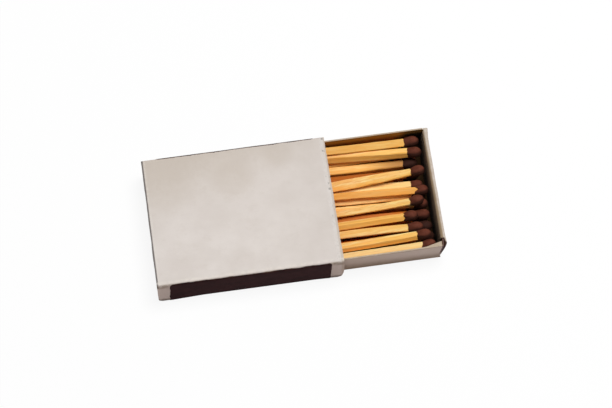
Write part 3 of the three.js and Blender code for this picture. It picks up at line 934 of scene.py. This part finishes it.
def loft(built, rings):
    """Joins rings of as many points each, and closes both ends."""
    loops = [[built.verts.new(place) for place in ring] for ring in rings]
    for low, high in zip(loops, loops[1:]):
        for k in range(len(low)):
            following = (k + 1) % len(low)
            built.faces.new((low[k], low[following], high[following], high[k]))
    built.faces.new(reversed(loops[0]))
    built.faces.new(loops[-1])
    bmesh.ops.recalc_face_normals(built, faces=built.faces)


def sway(built, match):
    """Bends a splint or its head sideways, from nothing at the tail."""
    at_mouth, at_head = SWAYED.get(match["number"], (0, 0))
    for corner in built.verts:
        share = corner.co.x / match["length"]
        bow = at_mouth * share * (1 - share) / (MOUTH_SHARE * (1 - MOUTH_SHARE))
        swing = at_head * share * (share - MOUTH_SHARE) / (1 - MOUTH_SHARE)
        corner.co.y += (bow + swing) * MM


def loft_splint(match):
    built = bmesh.new()
    tail = splint_section(match, -TAIL_EASE)
    rings = [[(x + TAIL_EASE, y * TAIL_SHARE, z * TAIL_SHARE) for x, y, z in tail]]
    for k in range(SPLINT_RINGS + 1):
        rings.append(splint_section(match, TAIL_EASE + (match["length"] - TAIL_EASE) * k / SPLINT_RINGS))
    loft(built, rings)
    sway(built, match)
    return make_object(f"{match['name']}_wood", built)


print("a splint has a ring every", round(matches[0]["length"] / SPLINT_RINGS / MM, 2), "mm")

# %% [markdown]
# ## Heads
# A head is paste that dried on a splint's end. It starts on the wood with a lip that creeps further along
# some sides than others, swells over a short neck and ends in a blunt round tip. A stretched sphere has
# no lip, so a head is a loft as well. Its first ring lies inside, at the splint's end, and its second is
# the lip: between them the paste fits the wood. The rest of the rings swell and carry the lumps.

# %% Where the paste starts
COLLAR_DRIFT, COLLAR_WAVE = 0.3 * MM, 0.7  # the wave in radii, because it goes round
COLLAR_SHIFT = {15: 0.7, 21: -0.35, 26: -0.3, 27: 0.1}  # the paste starts so many millimetres later
CORNER_CREEP = 0.22 * MM  # the paste creeps further back along the splint's edges
SPLINTERED = {23: 0.8}  # a sliver of this splint shows through the paste, so many millimetres long
SLIVER_TURN, SLIVER_POINT = math.radians(22), 12  # it lies a little to the back and is pointed


def paste_start(match, angle):
    """How far from the tail the paste starts, at an angle about the match's axis."""
    number = match["number"]
    wander = COLLAR_DRIFT * drift((math.cos(angle), math.sin(angle), 0), COLLAR_WAVE, number + 0.2)
    sliver = SPLINTERED.get(number, 0) * MM * max(0, math.sin(angle + SLIVER_TURN)) ** SLIVER_POINT
    start = match["collar"] + COLLAR_SHIFT.get(number, 0) * MM
    return start + wander + sliver - CORNER_CREEP * math.sin(2 * angle) ** 2


starts = [round(paste_start(matches[0], a) / MM, 2) for a in (0, math.pi / 2)]
print("paste starts", starts, "mm from the tail, at a side and on top")

# %% Loft a head
HEAD_RINGS, HEAD_SIDES = 16, 28
LIP = 0.05 * MM
BELLY = 0.52  # share of the head's length at which it is thickest
HEAD_SWELL = 1.05  # more paste than on the solid, which is measured without its lumps
HEAD_LUMP = 0.06 * MM
LARGE_LUMP, SMALL_LUMP = 1.3 * MM, 0.5 * MM
SOCKET_FIT = 0.01 * MM


def ring_radius(ring, angle):
    """How far a splint's ring reaches at an angle about the match's axis."""
    around = [math.atan2(z, y) for _, y, z in ring]
    reach = [math.hypot(y, z) for _, y, z in ring]
    return float(np.interp(angle, *map(np.array, zip(*sorted(zip(around, reach)))), period=2 * math.pi))


def head_reach(share, wood, radius):
    """How far a head reaches from its axis, from its collar at 0 to its tip at 1."""
    belly = HEAD_SWELL * radius
    if share > BELLY:
        return belly * math.sqrt(max(0, 1 - ((share - BELLY) / (1 - BELLY)) ** 2))
    return wood + LIP + (belly - wood - LIP) * math.sin(math.pi / 2 * share / BELLY)


def loft_head(match):
    built = bmesh.new()
    seed = match["number"]
    angles = [2 * math.pi * k / HEAD_SIDES for k in range(HEAD_SIDES)]
    neck = splint_section(match, match["collar"])
    wood = [ring_radius(neck, (a + math.pi) % (2 * math.pi) - math.pi) for a in angles]
    starts = [paste_start(match, a) for a in angles]
    rings = []
    for ends in ([match["length"] + SOCKET_FIT] * HEAD_SIDES, starts):
        fitted = [(x, w + SOCKET_FIT, a) for x, w, a in zip(ends, wood, angles)]
        rings.append([(x, reach * math.cos(a), reach * math.sin(a)) for x, reach, a in fitted])
    for k in range(HEAD_RINGS + 1):
        share = (1 - math.cos(math.pi * k / HEAD_RINGS)) / 2
        ring = []
        for start, w, a in zip(starts, wood, angles):
            x = start + (match["tip"] - start) * share
            reach = head_reach(share, w, match["radius"])
            place = (x, reach * math.cos(a), reach * math.sin(a))
            lump = drift(place, LARGE_LUMP, seed) + 0.5 * drift(place, SMALL_LUMP, seed + 0.4)
            reach = max(SOCKET_FIT, reach + HEAD_LUMP * lump * math.sqrt(share * (1 - share)) * 2)
            ring.append((x, reach * math.cos(a), reach * math.sin(a)))
        rings.append(ring)
    loft(built, rings)
    sway(built, match)
    return make_object(f"{match['name']}_tip", built)


print("a head has", HEAD_RINGS + 1, "rings of", HEAD_SIDES, "points, and two more in its socket")

# %% [markdown]
# ## The pile
# Every match is the same loft with its own seed, so no two are alike. Their finishes have to differ as
# well, and a material for each would be 56 of them. Instead each mesh carries two numbers on its points,
# its tone and whether its head end lies in painted shade, and one wood and one paste read them. On the
# wood the tone carries painted light and shade as well.

# %% Make the matches
# Own tone in part, painted light and shade in part: the palest lift shaded splints, orange and brown paint
# deep ones.
WOOD_TONE_AND_SHADE = {  # from -1, nearly white, over 0, straw, and 2, deep orange, to 3, brown
    12: 2.75, 13: 0.5, 14: -0.3, 15: -0.4, 16: 3, 17: 0.7, 18: 0.6, 20: 0.4, 21: 0.9, 22: 0.05, 23: 1.4,
    24: 0.15, 25: 0.7, 26: 0.35, 27: -0.45, 28: 0.3,
}
LOWER_SHADE_TONE, TONE_SPREAD = 2, 0.3  # painted shade of the splints that hardly show, deep in the pile
HEADS_IN_SHADE = (10, 11, 17)  # painted shade: the head ends of these lie deep in the pile
PILE_SEED = 28


def mark(piece, **values):
    """Numbers that tell one match's finish from the next, kept on its mesh."""
    for name, value in values.items():
        layer = piece.data.attributes.new(name, "FLOAT", "POINT")
        layer.data.foreach_set("value", [value] * len(piece.data.vertices))


draw = random.Random(PILE_SEED)
splint_pieces, head_pieces = [], []
for match in matches:
    wood, tip = loft_splint(match), loft_head(match)
    wood_tone_and_shade = WOOD_TONE_AND_SHADE.get(match["number"], LOWER_SHADE_TONE + TONE_SPREAD * draw.random())
    dust = float(match["number"] in HEADS_IN_SHADE)
    mark(wood, tone=wood_tone_and_shade, dust=dust)
    mark(tip, tone=draw.random(), dust=dust)
    for piece, node, slot in ((wood, "splint", "splint_wood"), (tip, "head", "head_composition")):
        piece.matrix_world = match["matrix"]
        stand_in(piece, f"{match['name']}_{node}", "tray")
    splint_pieces.append(wood)
    head_pieces.append(tip)

# %% [markdown]
# ## Card finishes
# The board is plain grey-white paper stock: matt, faintly mottled, with short fibres. Its back is raw and
# browner, and its cut edges show the pulp. A photograph of card could be mapped on, but a few layers of
# noise give the same at any distance and need no file. So a card has three finishes, one for each of its
# slots, and each of them takes a function that adds the wear and the painted shade of its own card.
# Coordinates are the object's own in millimetres, so the size of a lump is easy to read below.

# %% What every finish starts and ends with
def open_finish(name):
    """A new material, and its object's own coordinates in millimetres."""
    material = bpy.data.materials.new(name)
    shade = open_tree(material)
    place = shade.node("ShaderNodeTexCoord", None, None, "Object").stretch(1 / MM, 1 / MM, 1 / MM)
    return material, place


def finish_surface(shade, colour, height, relief, roughness, specular=0.35):
    bump = shade.node("ShaderNodeBump", None, {"Strength": 1, "Distance": relief, "Height": height})
    inputs = {"Base Color": colour, "Roughness": roughness, "Normal": bump, "Specular IOR Level": specular}
    surface = shade.node("ShaderNodeBsdfPrincipled", None, inputs)
    shade.node("ShaderNodeOutputMaterial", None, {"Surface": surface})


def parts_of(place):
    return [place.node("ShaderNodeSeparateXYZ", None, {"Vector": place}, axis) for axis in "XYZ"]


print("places on a surface are read in units of", MM, "m")

# %% Stock, raw back and cut edge
STOCK_GREY, STOCK_PALE = linear(216, 207, 200), linear(226, 218, 212)
STOCK_PATCH, STOCK_FIBRE = linear(210, 200, 191), linear(198, 187, 178)
BACK_DARK, BACK_PALE, BACK_FLECK = linear(176, 130, 64), linear(190, 148, 80), linear(146, 102, 46)
PULP_DARK, PULP_PALE = linear(186, 172, 158), linear(212, 202, 192)


def finish_stock(name, wear_and_shade):
    material, place = open_finish(name)
    broad = place.stretch(0.07, 0.09, 0.09).cloud(3, 0.6, 1.0)
    patch = place.stretch(0.3, 0.4, 0.4).cloud(4, 0.65, 2.0)
    fibre = place.stretch(1.6, 4.5, 4.5).cloud(3, 0.65, 3.0)
    colour = broad.between(0.3, 0.7).blend(STOCK_GREY, STOCK_PALE)
    colour = (patch.between(0.5, 0.75) * 0.35).blend(colour, STOCK_PATCH)
    colour = (fibre.between(0.5, 0.8) * 0.22).blend(colour, STOCK_FIBRE)
    finish_surface(place, wear_and_shade(place, colour), fibre + patch * 2, relief=0.02 * MM, roughness=0.85)
    return material


def finish_back(name, wear_and_shade):
    material, place = open_finish(name)
    fleck = place.stretch(0.9, 2.6, 2.6).cloud(4, 0.7, 4.0)
    broad = place.stretch(0.12, 0.12, 0.12).cloud(2, 0.5, 5.0)
    colour = broad.between(0.3, 0.7).blend(BACK_DARK, BACK_PALE)
    colour = (fleck.between(0.5, 0.75) * 0.6).blend(colour, BACK_FLECK)
    finish_surface(place, wear_and_shade(place, colour), fleck, relief=0.03 * MM, roughness=0.92, specular=0.1)
    return material


def finish_cut(name, wear_and_shade):
    material, place = open_finish(name)
    pulp = place.stretch(5, 5, 5).cloud(3, 0.6, 6.0)
    colour = pulp.between(0.3, 0.7).blend(PULP_DARK, PULP_PALE)
    finish_surface(place, wear_and_shade(place, colour), pulp, relief=0.03 * MM, roughness=0.95)
    return material


def dress_card(card, part, wears_and_shades):
    """Gives a card its three finishes, in the order of its slots, with a function for the wear and painted
    shade of each.
    """
    finishes = {"stock": finish_stock, "back": finish_back, "cut": finish_cut}
    for (ending, finish), wear_and_shade in zip(finishes.items(), wears_and_shades):
        card.data.materials.append(finish(f"{part}_{ending}", wear_and_shade))
    print(card.name, "has", [slot.name for slot in card.material_slots])


print("a card's slots:", {"outside": OUTSIDE, "inside": INSIDE, "cut edges": CUT})

# %% [markdown]
# ## Wear and painted shade of the sleeve
# Handling has stained the roof's far side, rubbed the folds and mouths and nicked the right mouth. A
# painted shadow runs along the left mouth, and the band along the front's top fold is partly wear and
# partly painted shade. All of it could be painted on an image. Here each mark is a mask instead, made from
# the distance to an edge or a spot and broken up by one scuffed noise. It blends the stock towards the
# colour of the mark. So the marks stay on the edges if the box changes its size.

# %% Wear and a painted shadow at the sleeve's mouths
MOUTH_NICKS = ((0.5, 3, 0.5), (0.6, 4.7, 0.3), (0.8, 14.4, 0.3), (0.6, 18, 0.4))  # inset, across, radius
RUBBED_RIGHT, RUBBED_LEFT = linear(230, 224, 219), linear(230, 224, 216)
SPECK, NICK = linear(150, 146, 142), linear(124, 122, 118)
LEFT_MOUTH_SHADOW, MOUTH_EDGE = linear(74, 68, 68), linear(186, 168, 148)


def away_from(place, spot):
    """The distance from a spot on the surface."""
    inputs = {"Vector": place, "Vector_001": spot}
    return place.node("ShaderNodeVectorMath", {"operation": "DISTANCE"}, inputs, "Value")


def wear_and_shadow_mouths(place, colour, scuff):
    """Specks, nicks and a brown edge at the right mouth, and a rubbed band and a painted shadow line along
    the left one.
    """
    x, _, z = parts_of(place)
    half, top = sleeve_half / MM, roof / MM
    speck = place.stretch(2.6, 1.4, 1.4).cloud(2, 0.6, 8.0)
    right = x.between(half - 1.8, half - 1.1)
    colour = (right * scuff.between(0.36, 0.6) * 0.35).blend(colour, RUBBED_RIGHT)
    colour = (right * speck.between(0.6, 0.7) * 0.45).blend(colour, SPECK)
    for inset, across, radius in MOUTH_NICKS:
        away = away_from(place, (half - inset, across, top)) + (scuff - 0.5) * 0.6
        colour = (away.between(radius, radius / 2) * 0.6).blend(colour, NICK)
    colour = (x.between(half - 0.6, half - 0.1) * 0.5).blend(colour, MOUTH_EDGE)
    left = x.between(1.3 - half, 0.7 - half) * scuff.between(0.4, 0.6)
    colour = (left * 0.5).blend(colour, RUBBED_LEFT)
    # Painted shadow: a dark line along the upper part of the left mouth.
    left_shadow = x.between(0.62 - half, 0.3 - half) * z.between(top - 2, top - 1)
    return (left_shadow * 0.85).blend(colour, LEFT_MOUTH_SHADOW)


print(len(MOUTH_NICKS), "nicks in the right mouth")

# %% Wear and painted shade on the roof, the folds and the inside
STAINS = ((-1, 9.5, 8, 0.36), (12, 16, 6, 0.4), (-19, 9, 9, 0.25))  # along, across, radius, strength
STAINED, SHADED, RUBBED_FOLD = linear(197, 185, 172), linear(204, 195, 188), linear(236, 227, 217)
FOLD_WEAR_AND_SHADE, FOLD_ENDS, LOW_GRIME = linear(172, 154, 136), linear(142, 124, 98), linear(112, 95, 82)
TRAY_RUB, HANDLED = linear(120, 84, 46), linear(150, 142, 136)


def wear_and_shade_sleeve(place, colour):
    """Stains from the far side inwards, painted shade on the roof's right part, then both mouths, then the
    front's folds, partly wear and partly painted shade.
    """
    x, y, z = parts_of(place)
    half, side, top = sleeve_half / MM, side_half / MM, roof / MM
    scuff = place.stretch(0.8, 0.8, 0.8).cloud(5, 0.7, 7.0)
    stain = (y * 1.2 - x * 0.3 + scuff * 14).between(10, 36)
    colour = (stain * 0.75).blend(colour, STAINED)
    for along, across, radius, strength in STAINS:
        away = away_from(place, (along, across, top)) + (scuff - 0.5) * radius
        colour = (away.between(radius, radius / 3) * strength).blend(colour, STAINED)
    colour = (x.between(2, half) * 0.35).blend(colour, SHADED)
    colour = wear_and_shadow_mouths(place, colour, scuff)
    worn = y.between(1.6 - side, 0.9 - side) * scuff.between(0.38, 0.58) * z.between(top - 0.4, top)
    colour = (worn * 0.5).blend(colour, RUBBED_FOLD)
    # Partly wear, partly painted shade: a darker brown band along the front's top fold.
    front_fold = y.between(0.5 - side, 0.2 - side) * z.between(top - 0.9, top - 0.3)
    colour = (front_fold * scuff.between(0.35, 0.6) * 0.6).blend(colour, FOLD_WEAR_AND_SHADE)
    ends = abs(x).between(half - 4, half - 2) * y.between(0.7 - side, 0.3 - side)
    under_fold = z.between(top - 2.6, top - 1.2) * z.between(top, top - 0.4) * scuff.between(0.3, 0.6)
    colour = (ends * under_fold * 0.55).blend(colour, FOLD_ENDS)
    low = z.between(2.2, 0.4) * y.between(1.4 - side, 0.9 - side)
    return (low * scuff.between(0.2, 0.5) * 0.85).blend(colour, LOW_GRIME)


def wear_sleeve_inside(place, colour):
    """The tray has rubbed its floor and roof a little darker along the middle."""
    y = parts_of(place)[1]
    rub = place.stretch(0.15, 0.8, 0.8).cloud(3, 0.6, 14.0)
    middle = y.between(-side_half / MM, 0) * y.between(side_half / MM, 0)
    return (middle * rub.between(0.4, 0.7) * 0.5).blend(colour, TRAY_RUB)


def wear_sleeve_cut(place, colour):
    """Grey with handling at the mouths."""
    rub = place.stretch(1.2, 1.2, 1.2).cloud(3, 0.6, 15.0)
    return (rub.between(0.45, 0.7) * 0.5).blend(colour, HANDLED)


dress_card(sleeve_card, "sleeve", (wear_and_shade_sleeve, wear_sleeve_inside, wear_sleeve_cut))

# %% [markdown]
# ## Wear and painted shade of the tray
# The tray is a warmer stock, darker towards the sleeve in painted shade and darker towards its foot.
# Painted shade browns the inner ply of its open end and blackens its card round the heads, most of all low
# down, and it fills the gap behind the worn corner's panel. These are masks again. The end walls lean, so
# a mask on them first takes the lean away: what is left is the distance from the end as if the wall stood
# upright, and a mask can be a straight band.

# %% Painted shade in the worn corner
GAP_SHADE = linear(74, 40, 42)
open_face = (tray_middle.x + outer_half_length) / MM  # the foot of the open end's outer face
rim = tray_high.z / MM


def end_places(place):
    """The distance along the tray, less the end wall's lean, and the distance across from its middle."""
    x, y, z = parts_of(place)
    lean = (END_LEAN + PUSHED_OUT) / tray_height
    return x - (z - tray_low.z / MM) * lean, y - tray_middle.y / MM


def darken_gap(place, colour, reach):
    """Painted shade in the gap behind the worn corner's panel, up to a distance from the end."""
    upright, across = end_places(place)
    z, edge = parts_of(place)[2], -WORN_ROLL / MM
    gap = upright.between(open_face - 1.3, open_face - 1.15)
    gap = gap * upright.between(open_face + reach + 0.12, open_face + reach)
    gap = gap * across.between(edge, edge - 0.5) * z.between(3, 5.5) * z.between(rim, rim - 0.4)
    return (gap * 0.9).blend(colour, GAP_SHADE)


print("the open end stands", round(open_face, 2), "mm from the middle of the sleeve")

# %% Rubbing, painted shade and a darker foot on the tray
WARM_STOCK, SLEEVE_SIDE_SHADE, DARKER_FOOT = linear(209, 200, 191), linear(162, 138, 114), linear(142, 122, 100)
NEAR_WALL, RIM_RUB, INNER_PLY_SHADE = linear(230, 221, 212), linear(188, 172, 152), linear(132, 106, 70)
INNER_PLY_DARK_SHADE, INNER_PLY_DEEP_SHADE = linear(52, 33, 19), linear(25, 15, 10)
INSIDE_SHADE, HEAD_END_SHADE, BROWNED = linear(112, 66, 24), linear(30, 19, 12), linear(176, 152, 118)


def wear_and_shade_tray(place, colour):
    """Rubbing, painted shade towards the sleeve, a darker foot, and painted shade on the ply of the open
    end that goes down inside.
    """
    x, _, z = parts_of(place)
    scuff = place.stretch(0.6, 0.6, 0.6).cloud(5, 0.7, 9.0)
    colour = (scuff.between(0.2, 0.8) * 0.3 + 0.6).blend(colour, WARM_STOCK)
    # Painted shade: darker towards the sleeve.
    colour = (x.between(open_face - 3, open_face - 27) * 0.55).blend(colour, SLEEVE_SIDE_SHADE)
    # Darker towards the foot of the tray.
    colour = ((z - scuff * 2).between(6, 0) * 0.8).blend(colour, DARKER_FOOT)
    upright, across = end_places(place)
    near_wall = across.between(-16.4, -17) * z.between(rim - 8, rim - 1)
    colour = (near_wall * 0.5).blend(colour, NEAR_WALL)
    rubbed = z.between(rim - 1.2, rim) * scuff.between(0.25, 0.6)
    colour = (rubbed * 0.8).blend(colour, RIM_RUB)
    # Painted shade on the inner ply of the open end: brown below the roll, darker lower down and nearly
    # black deepest.
    inside = abs(across).between(roll_half / MM + 0.3, roll_half / MM)
    inside = inside * (upright + across * 0.012).between(open_face - 0.57, open_face - 1)
    inside = inside * x.between(open_face - 3, open_face - 2.5)
    colour = (inside * 0.8).blend(colour, INNER_PLY_SHADE)
    dust = (z + scuff * 3).between(rim + 0.4, rim - 3) * (across.between(-16, -13) * 0.4 + 0.4)
    colour = (inside * dust).blend(colour, INNER_PLY_DARK_SHADE)
    colour = (inside * z.between(rim - 3.6, rim - 6) * 0.85).blend(colour, INNER_PLY_DEEP_SHADE)
    return darken_gap(place, colour, -0.42)


def shade_tray_inside(place, colour):
    """Painted shade: darker below the rim, and nearly black round the heads, up to just under the rim."""
    x, _, z = parts_of(place)
    scuff = place.stretch(0.7, 0.7, 0.7).cloud(4, 0.65, 12.0)
    beside = (x + scuff * 4).between(tray_high.x / MM - 6.5, tray_high.x / MM - 2.5)
    colour = (z.between(rim - 0.8, rim - 3.6) * 0.6).blend(colour, INSIDE_SHADE)
    below = (z + scuff * 1.6).between(rim - 0.6, rim - 1.7)
    return (beside * below * 0.92).blend(colour, HEAD_END_SHADE)


def wear_and_shade_tray_cut(place, colour):
    """Browned with handling, with the same painted shade near the heads as the card's inside, and in the
    gap.
    """
    rub = place.stretch(1.2, 1.2, 1.2).cloud(3, 0.6, 16.0)
    colour = (rub.between(0.2, 0.7) * 0.4 + 0.3).blend(colour, BROWNED)
    return darken_gap(place, shade_tray_inside(place, colour), 0.5)


dress_card(tray_card, "tray", (wear_and_shade_tray, shade_tray_inside, wear_and_shade_tray_cut))

# %% [markdown]
# ## Striking coat
# The coat is nearly black with a purple-brown cast, dull and gritty, and the card shows through where it
# goes round the fold. A plain dark colour would look like paint. A fine noise gives the grit its colour
# and its relief, and a mask at the height of the fold lets the card come through in spots.

# %% Coat
COAT_DARK, COAT_PALE = linear(43, 23, 25), linear(56, 31, 33)
COAT_GRIT, COAT_RUBBED = linear(78, 48, 47), linear(146, 120, 100)


def finish_strip():
    material, place = open_finish("striking_coat")
    grit = place.stretch(6, 6, 6).cloud(4, 0.7, 10.0)
    broad = place.stretch(0.25, 0.5, 0.5).cloud(3, 0.6, 11.0)
    z = parts_of(place)[2]
    colour = broad.between(0.3, 0.7).blend(COAT_DARK, COAT_PALE)
    colour = (grit.between(0.55, 0.8) * 0.4).blend(colour, COAT_GRIT)
    rubbed = z.between(roof / MM - 0.6, roof / MM - 0.1) * (grit + broad).between(0.95, 1.25)
    colour = (rubbed * 0.8).blend(colour, COAT_RUBBED)
    finish_surface(place, colour, grit, relief=0.05 * MM, roughness=0.9, specular=0.1)
    return material


strip_coat = finish_strip()
for strip in (front_strip, back_strip):
    strip.data.materials.append(strip_coat)
print(strip_coat.name, "is on", strip_coat.users, "strips")

# %% [markdown]
# ## Wood
# The wood is straw yellow, with streaks that run nearly the length of the splint. A wave texture would
# make regular rings, so it is noise that is stretched along X instead, in three widths, and slanted a
# little for each match. Painted shade gives the two side faces a deeper orange and darkens the tail
# towards the sleeve's mouth, wax deepens the end near the head, and the tone of the match, which also
# carries painted light and shade, is laid over all of that.

# %% Wood
STREAK_DEEP, STREAK_PALE = linear(246, 184, 92), linear(255, 224, 152)
FLAME, GRAIN = linear(250, 182, 108), linear(224, 140, 48)
SIDE_FACE_SHADE, MOUTH_SHADE, WAXED = linear(252, 178, 66), linear(228, 152, 76), linear(255, 212, 110)
PALE_TONE_AND_LIGHT, TONE_DEEP = linear(255, 234, 174), linear(238, 174, 76)
SHADE_ORANGE, SHADE_BROWN, BURIED_WOOD_SHADE = linear(250, 140, 26), linear(158, 78, 8), linear(140, 82, 26)


def read_mark(place, name):
    return place.node("ShaderNodeAttribute", {"attribute_name": name}, None, "Fac")


def finish_wood():
    material, place = open_finish("match_wood")
    tone = read_mark(place, "tone")
    seed = tone * 60
    x, y, z = parts_of(place)
    slant = (tone.node("ShaderNodeMath", {"operation": "FRACT"}, {"Value": tone}) - 0.5) * 0.2
    run = place.node("ShaderNodeCombineXYZ", None, {"X": x, "Y": y + x * slant, "Z": z - x * slant})
    streak = run.stretch(0.06, 1.2, 1.2).cloud(4, 0.62, seed)
    grain = run.stretch(0.22, 4.2, 4.2).cloud(4, 0.62, seed + 7)
    flame = run.stretch(0.14, 0.5, 0.5).cloud(2, 0.5, seed + 13)
    colour = streak.between(0.36, 0.64).blend(STREAK_DEEP, STREAK_PALE)
    colour = (flame.between(0.45, 0.7) * 0.65).blend(colour, FLAME)
    colour = (grain.between(0.48, 0.66) * 0.6).blend(colour, GRAIN)
    # Painted shade: the side faces get the deeper orange of wood in its own shade.
    colour = ((abs(y) - abs(z)).between(-0.15, 0.15) * 0.55).blend(colour, SIDE_FACE_SHADE)
    # Painted shade: the tail darkens towards the sleeve's mouth.
    colour = (x.between(26, 12) * 0.4).blend(colour, MOUTH_SHADE)
    colour = (x.between(20, 37) * 0.3).blend(colour, WAXED)
    colour = (tone.between(0.3, 1) * 0.55).blend(colour, TONE_DEEP)
    # Painted light and painted shade: pale lifts splints in shade, orange and brown paint the pile's deep
    # gaps.
    colour = (tone.between(0, -1) * 0.85).blend(colour, PALE_TONE_AND_LIGHT)
    colour = (tone.between(1, LOWER_SHADE_TONE) * 0.85).blend(colour, SHADE_ORANGE)
    colour = (tone.between(LOWER_SHADE_TONE, LOWER_SHADE_TONE + 1) * 0.85).blend(colour, SHADE_BROWN)
    # Painted shade on the head ends that lie deep in the pile.
    colour = (read_mark(place, "dust") * x.between(26, 38) * 0.7).blend(colour, BURIED_WOOD_SHADE)
    finish_surface(place, colour, grain + streak, relief=0.05 * MM, roughness=0.62)
    return material


match_wood = finish_wood()
for splint in splint_pieces:
    splint.data.materials.append(match_wood)
print(match_wood.name, "is on", match_wood.users, "splints")

# %% [markdown]
# ## Head paste
# The paste is dark red-brown, lumpy and dull. A glossy brown would look like chocolate, so there is hardly
# any shine. Painted shade darkens its collar, the heads that lie deep in the pile, and the sides of every
# head, which the surface's normal tells from its lit top.

# %% Paste
PASTE_DARK, PASTE_PALE, PASTE_GRAIN = linear(86, 40, 25), linear(110, 58, 42), linear(64, 28, 15)
PASTE_TONE, COLLAR_SHADE = linear(90, 44, 30), linear(70, 30, 16)
BURIED_HEAD_SHADE, HEAD_SIDE_SHADE = linear(36, 17, 10), linear(36, 15, 8)


def finish_paste():
    material, place = open_finish("head_paste")
    tone = read_mark(place, "tone")
    seed = tone * 40 + 20
    lump = place.stretch(0.9, 0.9, 0.9).cloud(3, 0.6, seed)
    grain = place.stretch(6, 6, 6).cloud(3, 0.6, seed + 3)
    colour = lump.between(0.3, 0.7).blend(PASTE_DARK, PASTE_PALE)
    colour = (grain.between(0.5, 0.8) * 0.5).blend(colour, PASTE_GRAIN)
    colour = (tone * 0.35).blend(colour, PASTE_TONE)
    # Painted shade on the collar half of every head, away from the lamp.
    colour = (parts_of(place)[0].between(41.2, 39) * 0.55).blend(colour, COLLAR_SHADE)
    # Painted shade on the heads that lie deep in the pile.
    colour = (read_mark(place, "dust") * 0.85).blend(colour, BURIED_HEAD_SHADE)
    # Painted shade: the sides and underside of every head are darker than its top.
    _, far, up = parts_of(place.node("ShaderNodeNewGeometry", None, None, "Normal"))
    colour = ((up + far * 0.3).between(0.9, 0.4) * 0.85).blend(colour, HEAD_SIDE_SHADE)
    finish_surface(place, colour, grain + lump, relief=0.05 * MM, roughness=0.75, specular=0.15)
    return material


head_paste = finish_paste()
for head in head_pieces:
    head.data.materials.append(head_paste)
print(head_paste.name, "is on", head_paste.users, "heads")

# %% [markdown]
